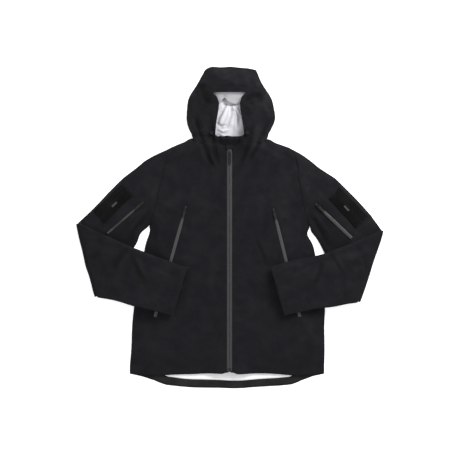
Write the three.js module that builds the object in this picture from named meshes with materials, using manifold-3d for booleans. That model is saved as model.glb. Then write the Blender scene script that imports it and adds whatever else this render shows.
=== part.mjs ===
// A waterproof hardshell jacket laid flat on its back, sleeves folded in over the front.
// Millimetres. +Z is up from the surface it lies on, +Y runs from the tail to the hood, and
// the origin is under the middle of the whole outline.
import * as THREE from "three";
import { mergeVertices } from "three/addons/utils/BufferGeometryUtils.js";
import Module from "manifold-3d";

const wasm = await Module();
wasm.setup();

// ---------------------------------------------------------------- driving dimensions
const CLOTH = 1.5; // a panel of shell cloth with its seams and tapes
const SKIN = 0.8; // inner laminate, facings and pocket bags
const GAP = 0.3; // between pieces that touch
const SEAM = 0.15; // each panel stands back this far from a seam line

const HEM_Y = -438; // front hem
const TAIL_DROP = 44.5; // the lowest point of the back hem lies this far below the front hem
const TAIL_SHOULDER = 11; // how far the back hem drops where its curve begins
const TAIL_SHARE = 0.79; // that place, as a share of the hem's half-width
const HEM_HALF = 288;
const WAIST_HALF = 285;
const WAIST_Y = -236;
const ARMPIT_HALF = 243;
const ARMPIT_Y = 4;
const CHEST_HALF = 212; // where the armhole is narrowest
const CHEST_Y = 101;
const SHOULDER_HALF = 176; // where the armhole meets the shoulder line
const SHOULDER_Y = 236;
const NECK_HALF = 112;
const NECK_Y = 250; // where the body ends and the neck band begins
const HOOD_Y = 272; // where the neck band ends and the hood begins
const HOOD_TOP_Y = 482.5;
const HOOD_HALF = 126;
const HEM_FACING = 24;

const BODY_RISE = 21; // how far the front stands above the back
const BODY_ROUND = 75; // how far in from an edge the front reaches its full height
const HOOD_RISE = 37;
const HOOD_ROUND = 70;
const ARM_RISE = 12;
const ARM_ROUND = 55;
const ELBOW_RISE = 9; // height of the upper arm at the elbow fold
const ELBOW_RUN = 60; // how far from the fold the upper arm reaches its full height
const FOLD_INSET = 8; // the fold bridge is this deep
const FOLD_CLEARANCE = 3.7; // between the two layers of sleeve at the elbow fold
const BODY_CLEARANCE = 4.4; // between the forearm and the highest slider on the body
const FOREARM_RUN = 36; // how fast the forearm rises from the fold to its level over the body
const FOREARM_FILL = 80; // how far from the fold the forearm reaches its full thickness
const FLOOR_GAP = 0.3; // bridging pieces are held this far off the surface

const ZIP_HALF = 8; // half-width of the taped centre zip
const ZIP_TOP = 241;
const COIL_HALF = 2.2;
const TAPE = 0.8;
const COIL = 1;
const SMALL_ZIP_HALF = 5;
const PILE = 1.6;
const TAG_LENGTH = 20;
const TAG_WIDTH = 6;
const SLIDER_LENGTH = 12;
const SLIDER_WIDTH = 7.5;
const SLIDER_HEIGHT = 2.6;
const PULLER_LENGTH = 26;
const PULLER_WIDTH = 6;
const PULLER_THICK = 1.6;
const MAIN_SCALE = 1.25; // the centre zip's slider against the pocket zips'
const BOX_WIDTH = 9; // retainer box at the foot of the centre zip
const BOX_LENGTH = 11;

const FACE_HALF_LOW = 44; // face opening at its lower edge
const FACE_HALF_MID = 31;
const FACE_HALF_TOP = 52;
const FACE_MID_Y = 362;
const FACE_TOP_Y = 401;
const CHIN_HALF = 42;
const LOCK_X = 53;
const LOCK_Y = 279;
const LOCK_SIZE = 11;
const CORD_RADIUS = 1.25;
const PLUNGER_RADIUS = 3;
const STIFFENER = 1.2;

// What differs from side to side: the way the two sleeves were laid.
const SIDES = [
  {
    name: "left",
    sign: -1,
    elbow: [452, 7],
    crease: [394, -209],
    upperEdge: [[256, 193], [319, 139]],
    underarm: [286, -63],
    forearmTop: [[367, -25], [287, -63], [180, -103], [133, -113]],
    cuff: [[126, -124], [170, -267]],
    pocketZip: [[130, 61], [223, -271]],
    armZip: [[257, 74], [367, -22]],
    field: [[287, 90], [320, 123], [404, 42], [371, 9]],
  },
  {
    name: "right",
    sign: 1,
    elbow: [452, -12],
    crease: [385, -220],
    upperEdge: [[245, 193], [316, 139], [420, 31]],
    underarm: [285, -79],
    forearmTop: [[369, -46], [288, -79], [178, -103], [124, -113]],
    cuff: [[122, -122], [164, -267]],
    pocketZip: [[131, 54], [211, -271]],
    armZip: [[258, 68], [367, -36]],
    field: [[294, 82], [326, 114], [408, 27], [376, -6]],
  },
];

// ---------------------------------------------------------------- materials
const shell = material(0x212226, 0.85);
const laminate = material(0xd6d8da, 0.7);
const film = material(0x45464a, 0.55);
const pile = material(0x17171a, 1);
const plastic = material(0x1b1c1e, 0.45);
const metal = material(0x3a3b3e, 0.4, 0.7);
const webbing = material(0x1f2023, 0.8);

function material(color, roughness, metalness = 0) {
  return new THREE.MeshStandardMaterial({ color, roughness, metalness });
}

const jacket = new THREE.Group();

function add(name, geometry, look) {
  const mesh = new THREE.Mesh(geometry, look.clone());
  mesh.name = name;
  jacket.add(mesh);
  return mesh;
}

// ---------------------------------------------------------------- plane geometry
const v2 = (x, y) => new THREE.Vector2(x, y);

/** Points spread evenly along a line through the corners given, each corner kept. */
function path(corners, pieces) {
  const points = corners.map(([x, y]) => v2(x, y));
  const spans = points.slice(1).map((p, i) => p.distanceTo(points[i]));
  const total = spans.reduce((a, b) => a + b, 0);
  const counts = spans.map((s) => Math.max(1, Math.round((pieces * s) / total)));
  while (counts.reduce((a, b) => a + b, 0) !== pieces) {
    const step = counts.reduce((a, b) => a + b, 0) < pieces ? 1 : -1;
    const longest = spans.map((s, i) => s / (counts[i] + (step > 0 ? 0 : -1e-3)));
    const wanted = step > 0 ? Math.max(...longest) : Math.min(...longest.filter((_, i) => counts[i] > 1));
    counts[longest.indexOf(wanted)] += step;
  }
  const line = [points[0]];
  counts.forEach((count, i) => {
    for (let k = 1; k <= count; k++) {
      line.push(points[i].clone().lerp(points[i + 1], k / count));
    }
  });
  return line;
}

/** Points spread evenly along a smooth curve through the points given. */
function curve(corners, pieces) {
  const spline = new THREE.SplineCurve(corners.map(([x, y]) => v2(x, y)));
  return spline.getSpacedPoints(pieces);
}

function distanceToLine(x, y, a, b) {
  const t = THREE.MathUtils.clamp(
    ((x - a.x) * (b.x - a.x) + (y - a.y) * (b.y - a.y)) / a.distanceToSquared(b), 0, 1);
  return Math.hypot(x - a.x - t * (b.x - a.x), y - a.y - t * (b.y - a.y));
}

function distanceTo(line, x, y) {
  let least = Infinity;
  for (let i = 1; i < line.length; i++) {
    least = Math.min(least, distanceToLine(x, y, line[i - 1], line[i]));
  }
  return least;
}

/** 0 at an edge, rising to 1 at the run given, level from there on. */
function swell(distance, run) {
  const left = 1 - Math.min(distance / run, 1);
  return 1 - left * left;
}

// ---------------------------------------------------------------- outlines, one side each
function outlines(side) {
  const at = ([x, y]) => [side.sign * x, y];
  const elbow = v2(...at(side.elbow));
  const crease = v2(...at(side.crease));
  const along = crease.clone().sub(elbow).normalize();
  const inward = v2(along.y, -along.x).multiplyScalar(side.sign > 0 ? 1 : -1);
  const inset = (p) => p.clone().addScaledVector(inward, FOLD_INSET);
  return {
    at,
    elbow,
    crease,
    along,
    inward,
    foldTop: inset(elbow),
    foldLow: inset(crease),
    shoulder: [at([NECK_HALF, 262]), at([SHOULDER_HALF, SHOULDER_Y])],
    armhole: [[SHOULDER_HALF, SHOULDER_Y], [206, 160], [CHEST_HALF, CHEST_Y], [ARMPIT_HALF, ARMPIT_Y]].map(at),
    flank: [[ARMPIT_HALF, ARMPIT_Y], [262, -110], [WAIST_HALF, WAIST_Y], [HEM_HALF, HEM_Y]].map(at),
    sleeveTop: [at([SHOULDER_HALF, SHOULDER_Y]), ...side.upperEdge.map(at), [elbow.x, elbow.y]],
    sleeveLow: [at([ARMPIT_HALF, ARMPIT_Y]), at(side.underarm), [crease.x, crease.y]],
  };
}

const sides = SIDES.map((side) => ({ ...side, ...outlines(side) }));

// Closed edges, where the front meets the back: shoulder and sleeve top, underarm, flank.
const closedEdges = sides.flatMap((s) => [
  [s.shoulder[0], ...s.sleeveTop],
  s.sleeveLow,
  s.flank,
]).map((line) => line.map((p) => v2(...p)));

function foldDistance(side, x, y) {
  return Math.abs((x - side.elbow.x) * side.inward.x + (y - side.elbow.y) * side.inward.y);
}

/** Underside of the front layer of body and upper arms. */
function frontHeight(x, y) {
  const side = x < 0 ? sides[0] : sides[1];
  const edge = Math.min(...closedEdges.map((line) => distanceTo(line, x, y)));
  const run = Math.min(foldDistance(side, x, y) / ELBOW_RUN, 1);
  const rise = ELBOW_RISE + (BODY_RISE - ELBOW_RISE) * run;
  return CLOTH + GAP + rise * swell(edge, BODY_ROUND);
}

// heights of what lies on the level part of the front
const ZIP_LEVEL = 2 * (CLOTH + GAP) + BODY_RISE;
const COIL_TOP = ZIP_LEVEL + TAPE + COIL;
const SLIDER_TOP = COIL_TOP + GAP + SLIDER_HEIGHT * 1.5;
const PULLER_HANG = SLIDER_HEIGHT * 0.8; // the puller's bar above the slider's underside
const BAR_THICK = PULLER_THICK * 0.6;
const BOX_HEIGHT = PULLER_HANG - BAR_THICK / 2 - GAP; // the puller passes over the retainer box
const FOREARM_LOW = 2 * CLOTH + GAP + ELBOW_RISE + FOLD_CLEARANCE; // underside at the elbow fold
const FOREARM_LIFT = SLIDER_TOP + BODY_CLEARANCE - FOREARM_LOW; // how much higher it lies over the body

function forearmEdges(side) {
  const top = [...side.forearmTop].map(side.at);
  const low = [side.cuff[1], side.crease].map(side.at);
  return { top, low };
}

/** Underside of a forearm. */
function forearmLow(side, x, y) {
  return FOREARM_LOW + FOREARM_LIFT * (1 - Math.exp(-foldDistance(side, x, y) / FOREARM_RUN));
}

function forearmHigh(side, x, y) {
  const { top, low } = forearmEdges(side);
  const edges = [[side.foldTop, ...top.map((p) => v2(...p))], low.map((p) => v2(...p))];
  const edge = Math.min(...edges.map((line) => distanceTo(line, x, y)));
  const fill = Math.min(foldDistance(side, x, y) / FOREARM_FILL, 1);
  return forearmLow(side, x, y) + CLOTH + GAP + ARM_RISE * fill * swell(edge, ARM_ROUND);
}

const hoodOutline = [
  [-HOOD_HALF + 15, HOOD_Y - 10], [-HOOD_HALF + 4, 301], [-HOOD_HALF, 346], [-HOOD_HALF + 14, 400],
  [-HOOD_HALF + 38, 446], [-HOOD_HALF + 62, 472], [-24, 480], [0, HOOD_TOP_Y], [26, 480],
  [HOOD_HALF - 54, 471], [HOOD_HALF - 37, 446], [HOOD_HALF - 13, 400], [HOOD_HALF, 346],
  [HOOD_HALF - 4, 301], [HOOD_HALF - 15, HOOD_Y - 10],
];
const hoodEdge = hoodOutline.map(([x, y]) => v2(x, y));

/** Underside of the hood's front layer. */
function hoodHeight(x, y) {
  return CLOTH + GAP + HOOD_RISE * swell(distanceTo(hoodEdge, x, y), HOOD_ROUND);
}

// ---------------------------------------------------------------- sheets
/**
 * A sheet between four edges. South and north run the same way and have the same number of
 * points, and so do west and east. The height gives the underside, and the sheet's thickness
 * is measured straight up.
 */
function sheet(south, north, west, east, height, thickness, inset = SEAM) {
  const cols = south.length - 1;
  const rows = west.length - 1;
  const box = new THREE.BoxGeometry(1, 1, 1, cols, rows, 1);
  const width = south[0].distanceTo(south[cols]) / 2 + north[0].distanceTo(north[cols]) / 2;
  const depth = west[0].distanceTo(west[rows]) / 2 + east[0].distanceTo(east[rows]) / 2;
  const position = box.attributes.position;
  for (let n = 0; n < position.count; n++) {
    const i = Math.round((position.getX(n) + 0.5) * cols);
    const j = Math.round((position.getY(n) + 0.5) * rows);
    const p = coons(south, north, west, east, i, j);
    const pull = v2(0, 0);
    if (i === 0) pull.add(coons(south, north, west, east, 1, j).sub(p).normalize());
    if (i === cols) pull.add(coons(south, north, west, east, cols - 1, j).sub(p).normalize());
    if (j === 0) pull.add(coons(south, north, west, east, i, 1).sub(p).normalize());
    if (j === rows) pull.add(coons(south, north, west, east, i, rows - 1).sub(p).normalize());
    p.addScaledVector(pull, Math.min(inset, width / 4, depth / 4));
    const low = height(p.x, p.y, i / cols, j / rows);
    position.setXYZ(n, p.x, p.y, position.getZ(n) > 0 ? low + thickness : low);
  }
  return outward(box);
}

function coons(south, north, west, east, i, j) {
  const cols = south.length - 1;
  const rows = west.length - 1;
  const u = i / cols;
  const v = j / rows;
  const p = v2(0, 0);
  p.addScaledVector(south[i], 1 - v).addScaledVector(north[i], v);
  p.addScaledVector(west[j], 1 - u).addScaledVector(east[j], u);
  p.addScaledVector(south[0], -(1 - u) * (1 - v)).addScaledVector(south[cols], -u * (1 - v));
  p.addScaledVector(north[0], -(1 - u) * v).addScaledVector(north[cols], -u * v);
  return p;
}

/** A closed geometry with one vertex per corner, its faces turned outwards. */
function outward(geometry) {
  const plain = geometry.clone();
  plain.deleteAttribute("normal");
  plain.deleteAttribute("uv");
  const merged = mergeVertices(plain, 1e-4);
  const index = merged.index.array;
  const at = (n) => new THREE.Vector3().fromBufferAttribute(merged.attributes.position, n);
  let volume = 0;
  for (let t = 0; t < index.length; t += 3) {
    volume += at(index[t]).dot(at(index[t + 1]).cross(at(index[t + 2])));
  }
  if (volume < 0) {
    for (let t = 0; t < index.length; t += 3) {
      [index[t], index[t + 1]] = [index[t + 1], index[t]];
    }
  }
  merged.computeVertexNormals();
  return merged;
}

/** A strip between two lines of equally many points, cut into the given number of columns. */
function strip(left, right, cols, height, thickness, inset = 0) {
  const across = (k) => {
    const line = [];
    for (let i = 0; i <= cols; i++) line.push(left[k].clone().lerp(right[k], i / cols));
    return line;
  };
  return sheet(across(0), across(left.length - 1), left, right, height, thickness, inset);
}

function solid(geometry) {
  const merged = outward(geometry);
  return new wasm.Manifold(new wasm.Mesh({
    numProp: 3,
    vertProperties: new Float32Array(merged.attributes.position.array),
    triVerts: new Uint32Array(merged.index.array),
  }));
}

function fromSolid(made) {
  const mesh = made.getMesh();
  const geometry = new THREE.BufferGeometry();
  geometry.setAttribute("position", new THREE.BufferAttribute(mesh.vertProperties, 3));
  geometry.setIndex(new THREE.BufferAttribute(mesh.triVerts, 1));
  geometry.computeVertexNormals();
  return geometry;
}

// ---------------------------------------------------------------- body
const BODY_ROWS = 12;
const ARMHOLE_ROWS = 6;
const CHIN_COLS = 2;
const NECK_COLS = 4;
const SHOULDER_COLS = 2;
const FRONT_COLS = CHIN_COLS + NECK_COLS + SHOULDER_COLS;

function flatHeight(level) {
  return () => level;
}

function bodyEdge(side, hemY = HEM_Y) {
  const flank = side.flank.map((p, i, all) => (i === all.length - 1 ? [p[0], hemY] : p));
  return [
    ...path([...flank].reverse(), BODY_ROWS),
    ...path([...side.armhole].reverse(), ARMHOLE_ROWS).slice(1),
  ];
}

function backHem(depth) {
  const tail = HEM_Y - TAIL_DROP + depth;
  const corner = HEM_Y - TAIL_SHOULDER + depth;
  const half = HEM_HALF * TAIL_SHARE;
  return [[-half, corner], [-half * 0.7, tail + 11], [0, tail], [half * 0.7, tail + 11], [half, corner]];
}

function backPanel() {
  const [left, right] = sides;
  const west = bodyEdge(left, HEM_Y - 1);
  const east = bodyEdge(right, HEM_Y - 1);
  const south = curve([[-HEM_HALF, HEM_Y - 1], ...backHem(0), [HEM_HALF, HEM_Y - 1]], 2 * FRONT_COLS);
  const north = path([west.at(-1), [-NECK_HALF, NECK_Y], [NECK_HALF, NECK_Y], east.at(-1)]
    .map((p) => (p.isVector2 ? [p.x, p.y] : p)), 2 * FRONT_COLS);
  add("back_panel", sheet(south, north, west, east, flatHeight(0), CLOTH), shell);

  // the white laminate stops at the hem facing and short of the outline
  const shrink = (line) => line.map((p) => v2(p.x * 0.97, p.y));
  const top = north.map((p) => v2(p.x * 0.95, p.y - 24));
  const skinWest = shrink(west);
  const skinEast = shrink(east);
  const skinSouth = south.map((p) => v2(p.x * 0.97, p.y + HEM_FACING));
  const lift = CLOTH + GAP;
  const drop = (line, end) => line.map((p, k) => p.clone().add(end.clone().sub(line[0])
    .multiplyScalar(1 - Math.min(k / 3, 1))));
  const westLine = drop(skinWest, skinSouth[0]);
  const eastLine = drop(skinEast, skinSouth.at(-1));
  westLine[westLine.length - 1] = top[0];
  eastLine[eastLine.length - 1] = top.at(-1);
  add("back_lining", sheet(skinSouth, top, westLine, eastLine, flatHeight(lift), SKIN), laminate);

  const facingLow = south.map((p) => v2(p.x * 0.985, p.y + 1.5));
  const facingHigh = skinSouth.map((p, k) => v2(facingLow[k].x * 0.985, p.y - SEAM * 2));
  const facing = strip(facingLow, facingHigh, 1, flatHeight(lift), SKIN);
  add("back_hem_facing", facing, webbing);
}

function neckFacing() {
  const low = curve([[-NECK_HALF * 0.86, NECK_Y - 40], [0, NECK_Y - 62], [NECK_HALF * 0.86, NECK_Y - 40]], 6);
  const high = path([[-NECK_HALF * 0.86, NECK_Y - 3], [NECK_HALF * 0.86, NECK_Y - 3]], 6);
  const level = CLOTH + SKIN + 2 * GAP;
  add("back_neck_facing", strip(low, high, 3, flatHeight(level), SKIN), webbing);
  const label = new THREE.BoxGeometry(42, 26, SKIN);
  label.translate(0, NECK_Y - 30, level + SKIN + GAP + SKIN / 2);
  add("blank_label", outward(label), film);

  // a flat tape loop standing on the facing, open from side to side
  const outer = new THREE.Shape();
  outer.moveTo(-30, 0).lineTo(30, 0).lineTo(30, 1.2).lineTo(22, 1.2).lineTo(18, 8).lineTo(-18, 8)
    .lineTo(-22, 1.2).lineTo(-30, 1.2);
  const hole = new THREE.Path();
  hole.moveTo(-19.5, 1).lineTo(-16.8, 6.6).lineTo(16.8, 6.6).lineTo(19.5, 1);
  outer.holes.push(hole);
  const loop = new THREE.ExtrudeGeometry(outer, { depth: 6, bevelEnabled: false });
  loop.rotateX(Math.PI / 2);
  loop.translate(0, NECK_Y - 5, level + SKIN + GAP);
  add("hanger_loop", outward(loop), webbing);
}

function frontPanel(side) {
  const inner = side.sign * (COIL_HALF + 0.8);
  const outerEdge = bodyEdge(side);
  const rows = BODY_ROWS + ARMHOLE_ROWS;
  const innerEdge = path([[inner, HEM_Y], [inner, NECK_Y - 2]], rows);
  const low = path([[inner, HEM_Y], [side.sign * HEM_HALF, HEM_Y]], FRONT_COLS);
  const chin = side.at([CHIN_HALF, NECK_Y]);
  const neckPoint = side.at([NECK_HALF, NECK_Y + 4]);
  const top = [
    ...path([[inner, NECK_Y - 2], chin], CHIN_COLS),
    ...path([chin, neckPoint], NECK_COLS).slice(1),
    ...path([neckPoint, side.armhole[0]], SHOULDER_COLS).slice(1),
  ];
  add(`front_panel_${side.name}`, sheet(low, top, innerEdge, outerEdge, frontHeight, CLOTH), shell);
}

function stormFlap() {
  const half = 20;
  const left = path([[-half, HEM_Y + 8], [-half, NECK_Y - 6]], 14);
  const right = path([[half, HEM_Y + 8], [half, NECK_Y - 6]], 14);
  const under = (x, y) => frontHeight(x, y) - SKIN - GAP;
  add("storm_flap", strip(left, right, 2, under, SKIN), webbing);
}

// ---------------------------------------------------------------- zips
/** The tape of one side of a zip with its row of coil, along +Y, its middle line at x = 0. */
function tapeSection(half, sign, level) {
  const shape = new THREE.Shape();
  const inner = sign * 0.4;
  const coil = sign * COIL_HALF;
  const outer = sign * half;
  shape.moveTo(inner, level).lineTo(outer, level).lineTo(outer, level + TAPE).lineTo(coil, level + TAPE);
  shape.lineTo(coil, level + TAPE + COIL).lineTo(inner, level + TAPE + COIL);
  return shape;
}

/** A run of zip between two points, as the frame that its pieces are placed in. */
function run(from, to) {
  const group = new THREE.Matrix4();
  const angle = Math.atan2(to.y - from.y, to.x - from.x) - Math.PI / 2;
  group.makeRotationZ(angle);
  group.setPosition(from.x, from.y, 0);
  return { matrix: group, length: from.distanceTo(to) };
}

function tapes(name, place, half) {
  [["left", -1], ["right", 1]].forEach(([word, sign]) => {
    const tape = new THREE.ExtrudeGeometry(tapeSection(half, sign, 0), { depth: place.length, bevelEnabled: false });
    tape.rotateX(-Math.PI / 2);
    tape.scale(1, 1, -1);
    tape.translate(0, 0, ZIP_LEVEL);
    tape.applyMatrix4(place.matrix);
    add(`${name}_tape_${word}`, outward(tape), film);
  });
}

/** One strip for a pocket zip: welded tape with the coil along its middle. */
function pocketZip(name, place) {
  const half = SMALL_ZIP_HALF;
  const shape = new THREE.Shape();
  shape.moveTo(-half, 0).lineTo(half, 0).lineTo(half, TAPE).lineTo(COIL_HALF, TAPE);
  shape.lineTo(COIL_HALF, TAPE + COIL).lineTo(-COIL_HALF, TAPE + COIL).lineTo(-COIL_HALF, TAPE);
  shape.lineTo(-half, TAPE);
  const tape = new THREE.ExtrudeGeometry(shape, { depth: place.length, bevelEnabled: false });
  tape.rotateX(-Math.PI / 2);
  tape.scale(1, 1, -1);
  tape.translate(0, 0, ZIP_LEVEL);
  tape.applyMatrix4(place.matrix);
  add(name, outward(tape), film);
}

/** Slider body, waisted like a real one, with the bridge that the puller hangs on. */
function slider(name, place, along, size = 1) {
  const l = SLIDER_LENGTH * size;
  const w = SLIDER_WIDTH * size;
  const h = SLIDER_HEIGHT;
  const outline = new THREE.Shape();
  outline.moveTo(-w * 0.5, l * 0.5).lineTo(-w * 0.36, -l * 0.5).lineTo(w * 0.36, -l * 0.5).lineTo(w * 0.5, l * 0.5);
  const body = new THREE.ExtrudeGeometry(outline, { depth: h * 0.5, bevelEnabled: false });
  const bridge = new THREE.BoxGeometry(w * 0.32, l * 0.7, h);
  bridge.translate(0, 0, h * 0.5 + h * 0.5 - 0.01);
  const eye = new THREE.BoxGeometry(w, l * 0.34, h * 0.55);
  eye.translate(0, -l * 0.08, h * 0.5 + h * 0.3);
  const made = solid(body).add(solid(bridge)).subtract(solid(eye));
  const geometry = fromSolid(made);
  geometry.translate(0, along, COIL_TOP + GAP);
  geometry.applyMatrix4(place.matrix);
  add(name, geometry, metal);
}

/** Puller: a cross bar through the bridge, two arms beside it and a tab beyond. */
function puller(name, place, along, size = 1) {
  const l = SLIDER_LENGTH * size;
  const w = SLIDER_WIDTH * size;
  const t = BAR_THICK;
  const z = PULLER_HANG;
  const y0 = -l * 0.08;
  const bar = new THREE.BoxGeometry(w, t, t);
  bar.translate(0, y0, z);
  let made = solid(bar);
  [-1, 1].forEach((sign) => {
    const arm = new THREE.BoxGeometry(w * 0.22, l * 0.75, t);
    arm.translate(sign * w * 0.42, y0 - l * 0.34, z);
    made = made.add(solid(arm));
  });
  const tab = new THREE.Shape();
  const half = PULLER_WIDTH * 0.5 * size;
  const end = -PULLER_LENGTH * size;
  tab.moveTo(-w * 0.53, -l * 0.72).lineTo(-half, end + half).absarc(0, end + half, half, Math.PI, 2 * Math.PI, false);
  tab.lineTo(w * 0.53, -l * 0.72);
  const grip = new THREE.ExtrudeGeometry(tab, { depth: PULLER_THICK, bevelEnabled: false, curveSegments: 6 });
  grip.translate(0, 0, z - t / 2);
  made = made.add(solid(grip));
  const geometry = fromSolid(made);
  geometry.translate(0, along, COIL_TOP + GAP);
  geometry.applyMatrix4(place.matrix);
  add(name, geometry, plastic);
}

function mainZip() {
  const place = run(v2(0, HEM_Y + 4), v2(0, ZIP_TOP - 8));
  tapes("main_zip", place, ZIP_HALF);
  const boxAt = new THREE.BoxGeometry(BOX_WIDTH, BOX_LENGTH, BOX_HEIGHT);
  boxAt.translate(0, BOX_LENGTH / 2 - 1.5, COIL_TOP + GAP + BOX_HEIGHT / 2);
  boxAt.applyMatrix4(place.matrix);
  add("main_zip_retainer_box", outward(boxAt), plastic);
  const along = place.length - 16;
  slider("main_zip_slider", place, along, MAIN_SCALE);
  puller("main_zip_puller", place, along, MAIN_SCALE);

  // garage: a hooded patch that the top of the zip runs under
  const garage = new THREE.Shape();
  garage.moveTo(-12, 0).lineTo(12, 0).lineTo(9, 13).lineTo(-9, 13);
  const cover = new THREE.ExtrudeGeometry(garage, { depth: 1.2, bevelEnabled: false });
  cover.translate(0, ZIP_TOP - 9, COIL_TOP + GAP);
  add("main_zip_garage", outward(cover), film);
}

function sideZips(side) {
  const [pocketTop, pocketLow] = side.pocketZip.map((p) => v2(...side.at(p)));
  const pocket = run(pocketLow, pocketTop);
  pocketZip(`pocket_zip_${side.name}`, pocket);
  slider(`pocket_slider_${side.name}`, pocket, pocket.length - 9);
  puller(`pocket_puller_${side.name}`, pocket, pocket.length - 9);

  const [armTop, armLow] = side.armZip.map((p) => v2(...side.at(p)));
  const arm = run(armLow, armTop);
  pocketZip(`arm_zip_${side.name}`, arm);
  slider(`arm_slider_${side.name}`, arm, arm.length - 9);
  puller(`arm_puller_${side.name}`, arm, arm.length - 9);
}

function pocketBag(side) {
  const [top, low] = side.pocketZip;
  const inner = path([side.at([low[0] - 130, low[1] + 10]), side.at([top[0] - 60, top[1]])], 9);
  const outer = path([side.at([low[0] + 4, low[1] - 4]), side.at([top[0] + 4, top[1] + 8])], 9);
  const under = (x, y) => frontHeight(x, y) - SKIN - 5 * GAP;
  add(`pocket_bag_${side.name}`, strip(inner, outer, 5, under, SKIN), webbing);
}

// ---------------------------------------------------------------- sleeves
const SLEEVE_COLS = 6;
const FOREARM_ROWS = 6;
const FOREARM_COLS = 8;

function sleeve(side) {
  const armhole = path(side.armhole, ARMHOLE_ROWS);
  const fold = path([[side.foldTop.x, side.foldTop.y], [side.foldLow.x, side.foldLow.y]], ARMHOLE_ROWS);
  const top = path([...side.sleeveTop.slice(0, -1), [side.foldTop.x, side.foldTop.y]], SLEEVE_COLS);
  const low = path([...side.sleeveLow.slice(0, -1), [side.foldLow.x, side.foldLow.y]], SLEEVE_COLS);
  add(`sleeve_back_${side.name}`, sheet(armhole, fold, top, low, flatHeight(0), CLOTH), shell);
  add(`sleeve_front_${side.name}`, sheet(armhole, fold, top, low, frontHeight, CLOTH), shell);
}

function loopField(side) {
  const [nearLow, nearTop, farTop, farLow] = side.field.map(side.at);
  const left = path([nearLow, nearTop], 3);
  const right = path([farLow, farTop], 3);
  const low = path([nearLow, farLow], 4);
  const high = path([nearTop, farTop], 4);
  const on = (x, y) => frontHeight(x, y) + CLOTH + 2 * GAP;
  add(`loop_field_${side.name}`, sheet(low, high, left, right, on, PILE), pile);
  const middle = v2(nearLow[0] + farTop[0], nearLow[1] + farTop[1]).multiplyScalar(0.5);
  const way = v2(farLow[0] - nearLow[0], farLow[1] - nearLow[1]).normalize();
  const across = v2(-way.y, way.x).multiplyScalar(TAG_WIDTH / 2);
  const tagLine = (offset) => [-1, 0, 1].map((k) => middle.clone().add(offset)
    .addScaledVector(way, (k * TAG_LENGTH) / 2));
  const above = (x, y) => on(x, y) + PILE + 2 * GAP;
  add(`blank_tag_${side.name}`,
    strip(tagLine(across.clone().negate()), tagLine(across), 1, above, SKIN), film);
}

function forearm(side) {
  const { top, low } = forearmEdges(side);
  const foldTop = [side.foldTop.x, side.foldTop.y];
  const foldLow = [side.foldLow.x, side.foldLow.y];
  const fold = path([foldLow, foldTop], FOREARM_ROWS);
  const cuff = path([side.at(side.cuff[1]), side.at(side.cuff[0])], FOREARM_ROWS);
  const upper = curve([foldTop, ...top.slice(0, 3), side.at(side.cuff[0])], FOREARM_COLS);
  const lower = path([foldLow, low[0]], FOREARM_COLS);
  const under = (x, y) => forearmLow(side, x, y);
  const over = (x, y) => forearmHigh(side, x, y);
  add(`forearm_under_${side.name}`, sheet(fold, cuff, lower, upper, under, CLOTH), shell);
  add(`forearm_over_${side.name}`, sheet(fold, cuff, lower, upper, over, CLOTH), shell);

  const depth = 26;
  const inward = v2(...side.at([1, 0.12])).normalize().multiplyScalar(depth);
  const middle = cuff[0].clone().lerp(cuff[FOREARM_ROWS], 0.5);
  const mouth = cuff.map((p) => p.clone().lerp(middle, 0.22));
  const inner = mouth.map((p) => p.clone().add(inward));
  const facing = (x, y) => forearmHigh(side, x, y) - SKIN - 6.3 * GAP;
  add(`cuff_facing_${side.name}`, strip(mouth, inner, 1, facing, SKIN), webbing);
}

/** The stretch of sleeve that bends round the elbow fold, from the upper arm up to the forearm. */
function elbowFold(side) {
  const high = FOREARM_LOW + CLOTH + GAP + 4;
  const steps = 8;
  const shape = new THREE.Shape();
  const arc = (radiusX, radiusZ, back) => {
    for (let k = 0; k <= steps; k++) {
      const a = -Math.PI / 2 + (Math.PI * (back ? steps - k : k)) / steps;
      const x = Math.cos(a) * radiusX;
      const z = high / 2 + Math.sin(a) * radiusZ;
      if (k === 0 && !back) shape.moveTo(x, z);
      else shape.lineTo(x, z);
    }
  };
  arc(FOLD_INSET - GAP, high / 2, false);
  arc(FOLD_INSET - GAP - CLOTH, high / 2 - CLOTH, true);
  const length = side.elbow.distanceTo(side.crease) - 6;
  const bend = new THREE.ExtrudeGeometry(shape, { depth: length, bevelEnabled: false });
  // the section's x runs outwards, its y becomes up, and its depth runs along the fold
  const outwards = side.inward.clone().negate();
  const basis = new THREE.Matrix4().makeBasis(
    new THREE.Vector3(outwards.x, outwards.y, 0),
    new THREE.Vector3(0, 0, 1),
    new THREE.Vector3(side.along.x, side.along.y, 0),
  );
  const start = side.foldTop.clone().addScaledVector(side.along, 3).addScaledVector(outwards, GAP);
  basis.setPosition(start.x, start.y, FLOOR_GAP);
  bend.applyMatrix4(basis);
  add(`elbow_fold_${side.name}`, outward(bend), shell);
}

// ---------------------------------------------------------------- neck and hood
function between(lowHeight, highHeight) {
  return (x, y) => {
    const t = THREE.MathUtils.clamp((y - NECK_Y) / (HOOD_Y - NECK_Y), 0, 1);
    return THREE.MathUtils.lerp(lowHeight(x, y), highHeight(x, y), t * t * (3 - 2 * t));
  };
}

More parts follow.
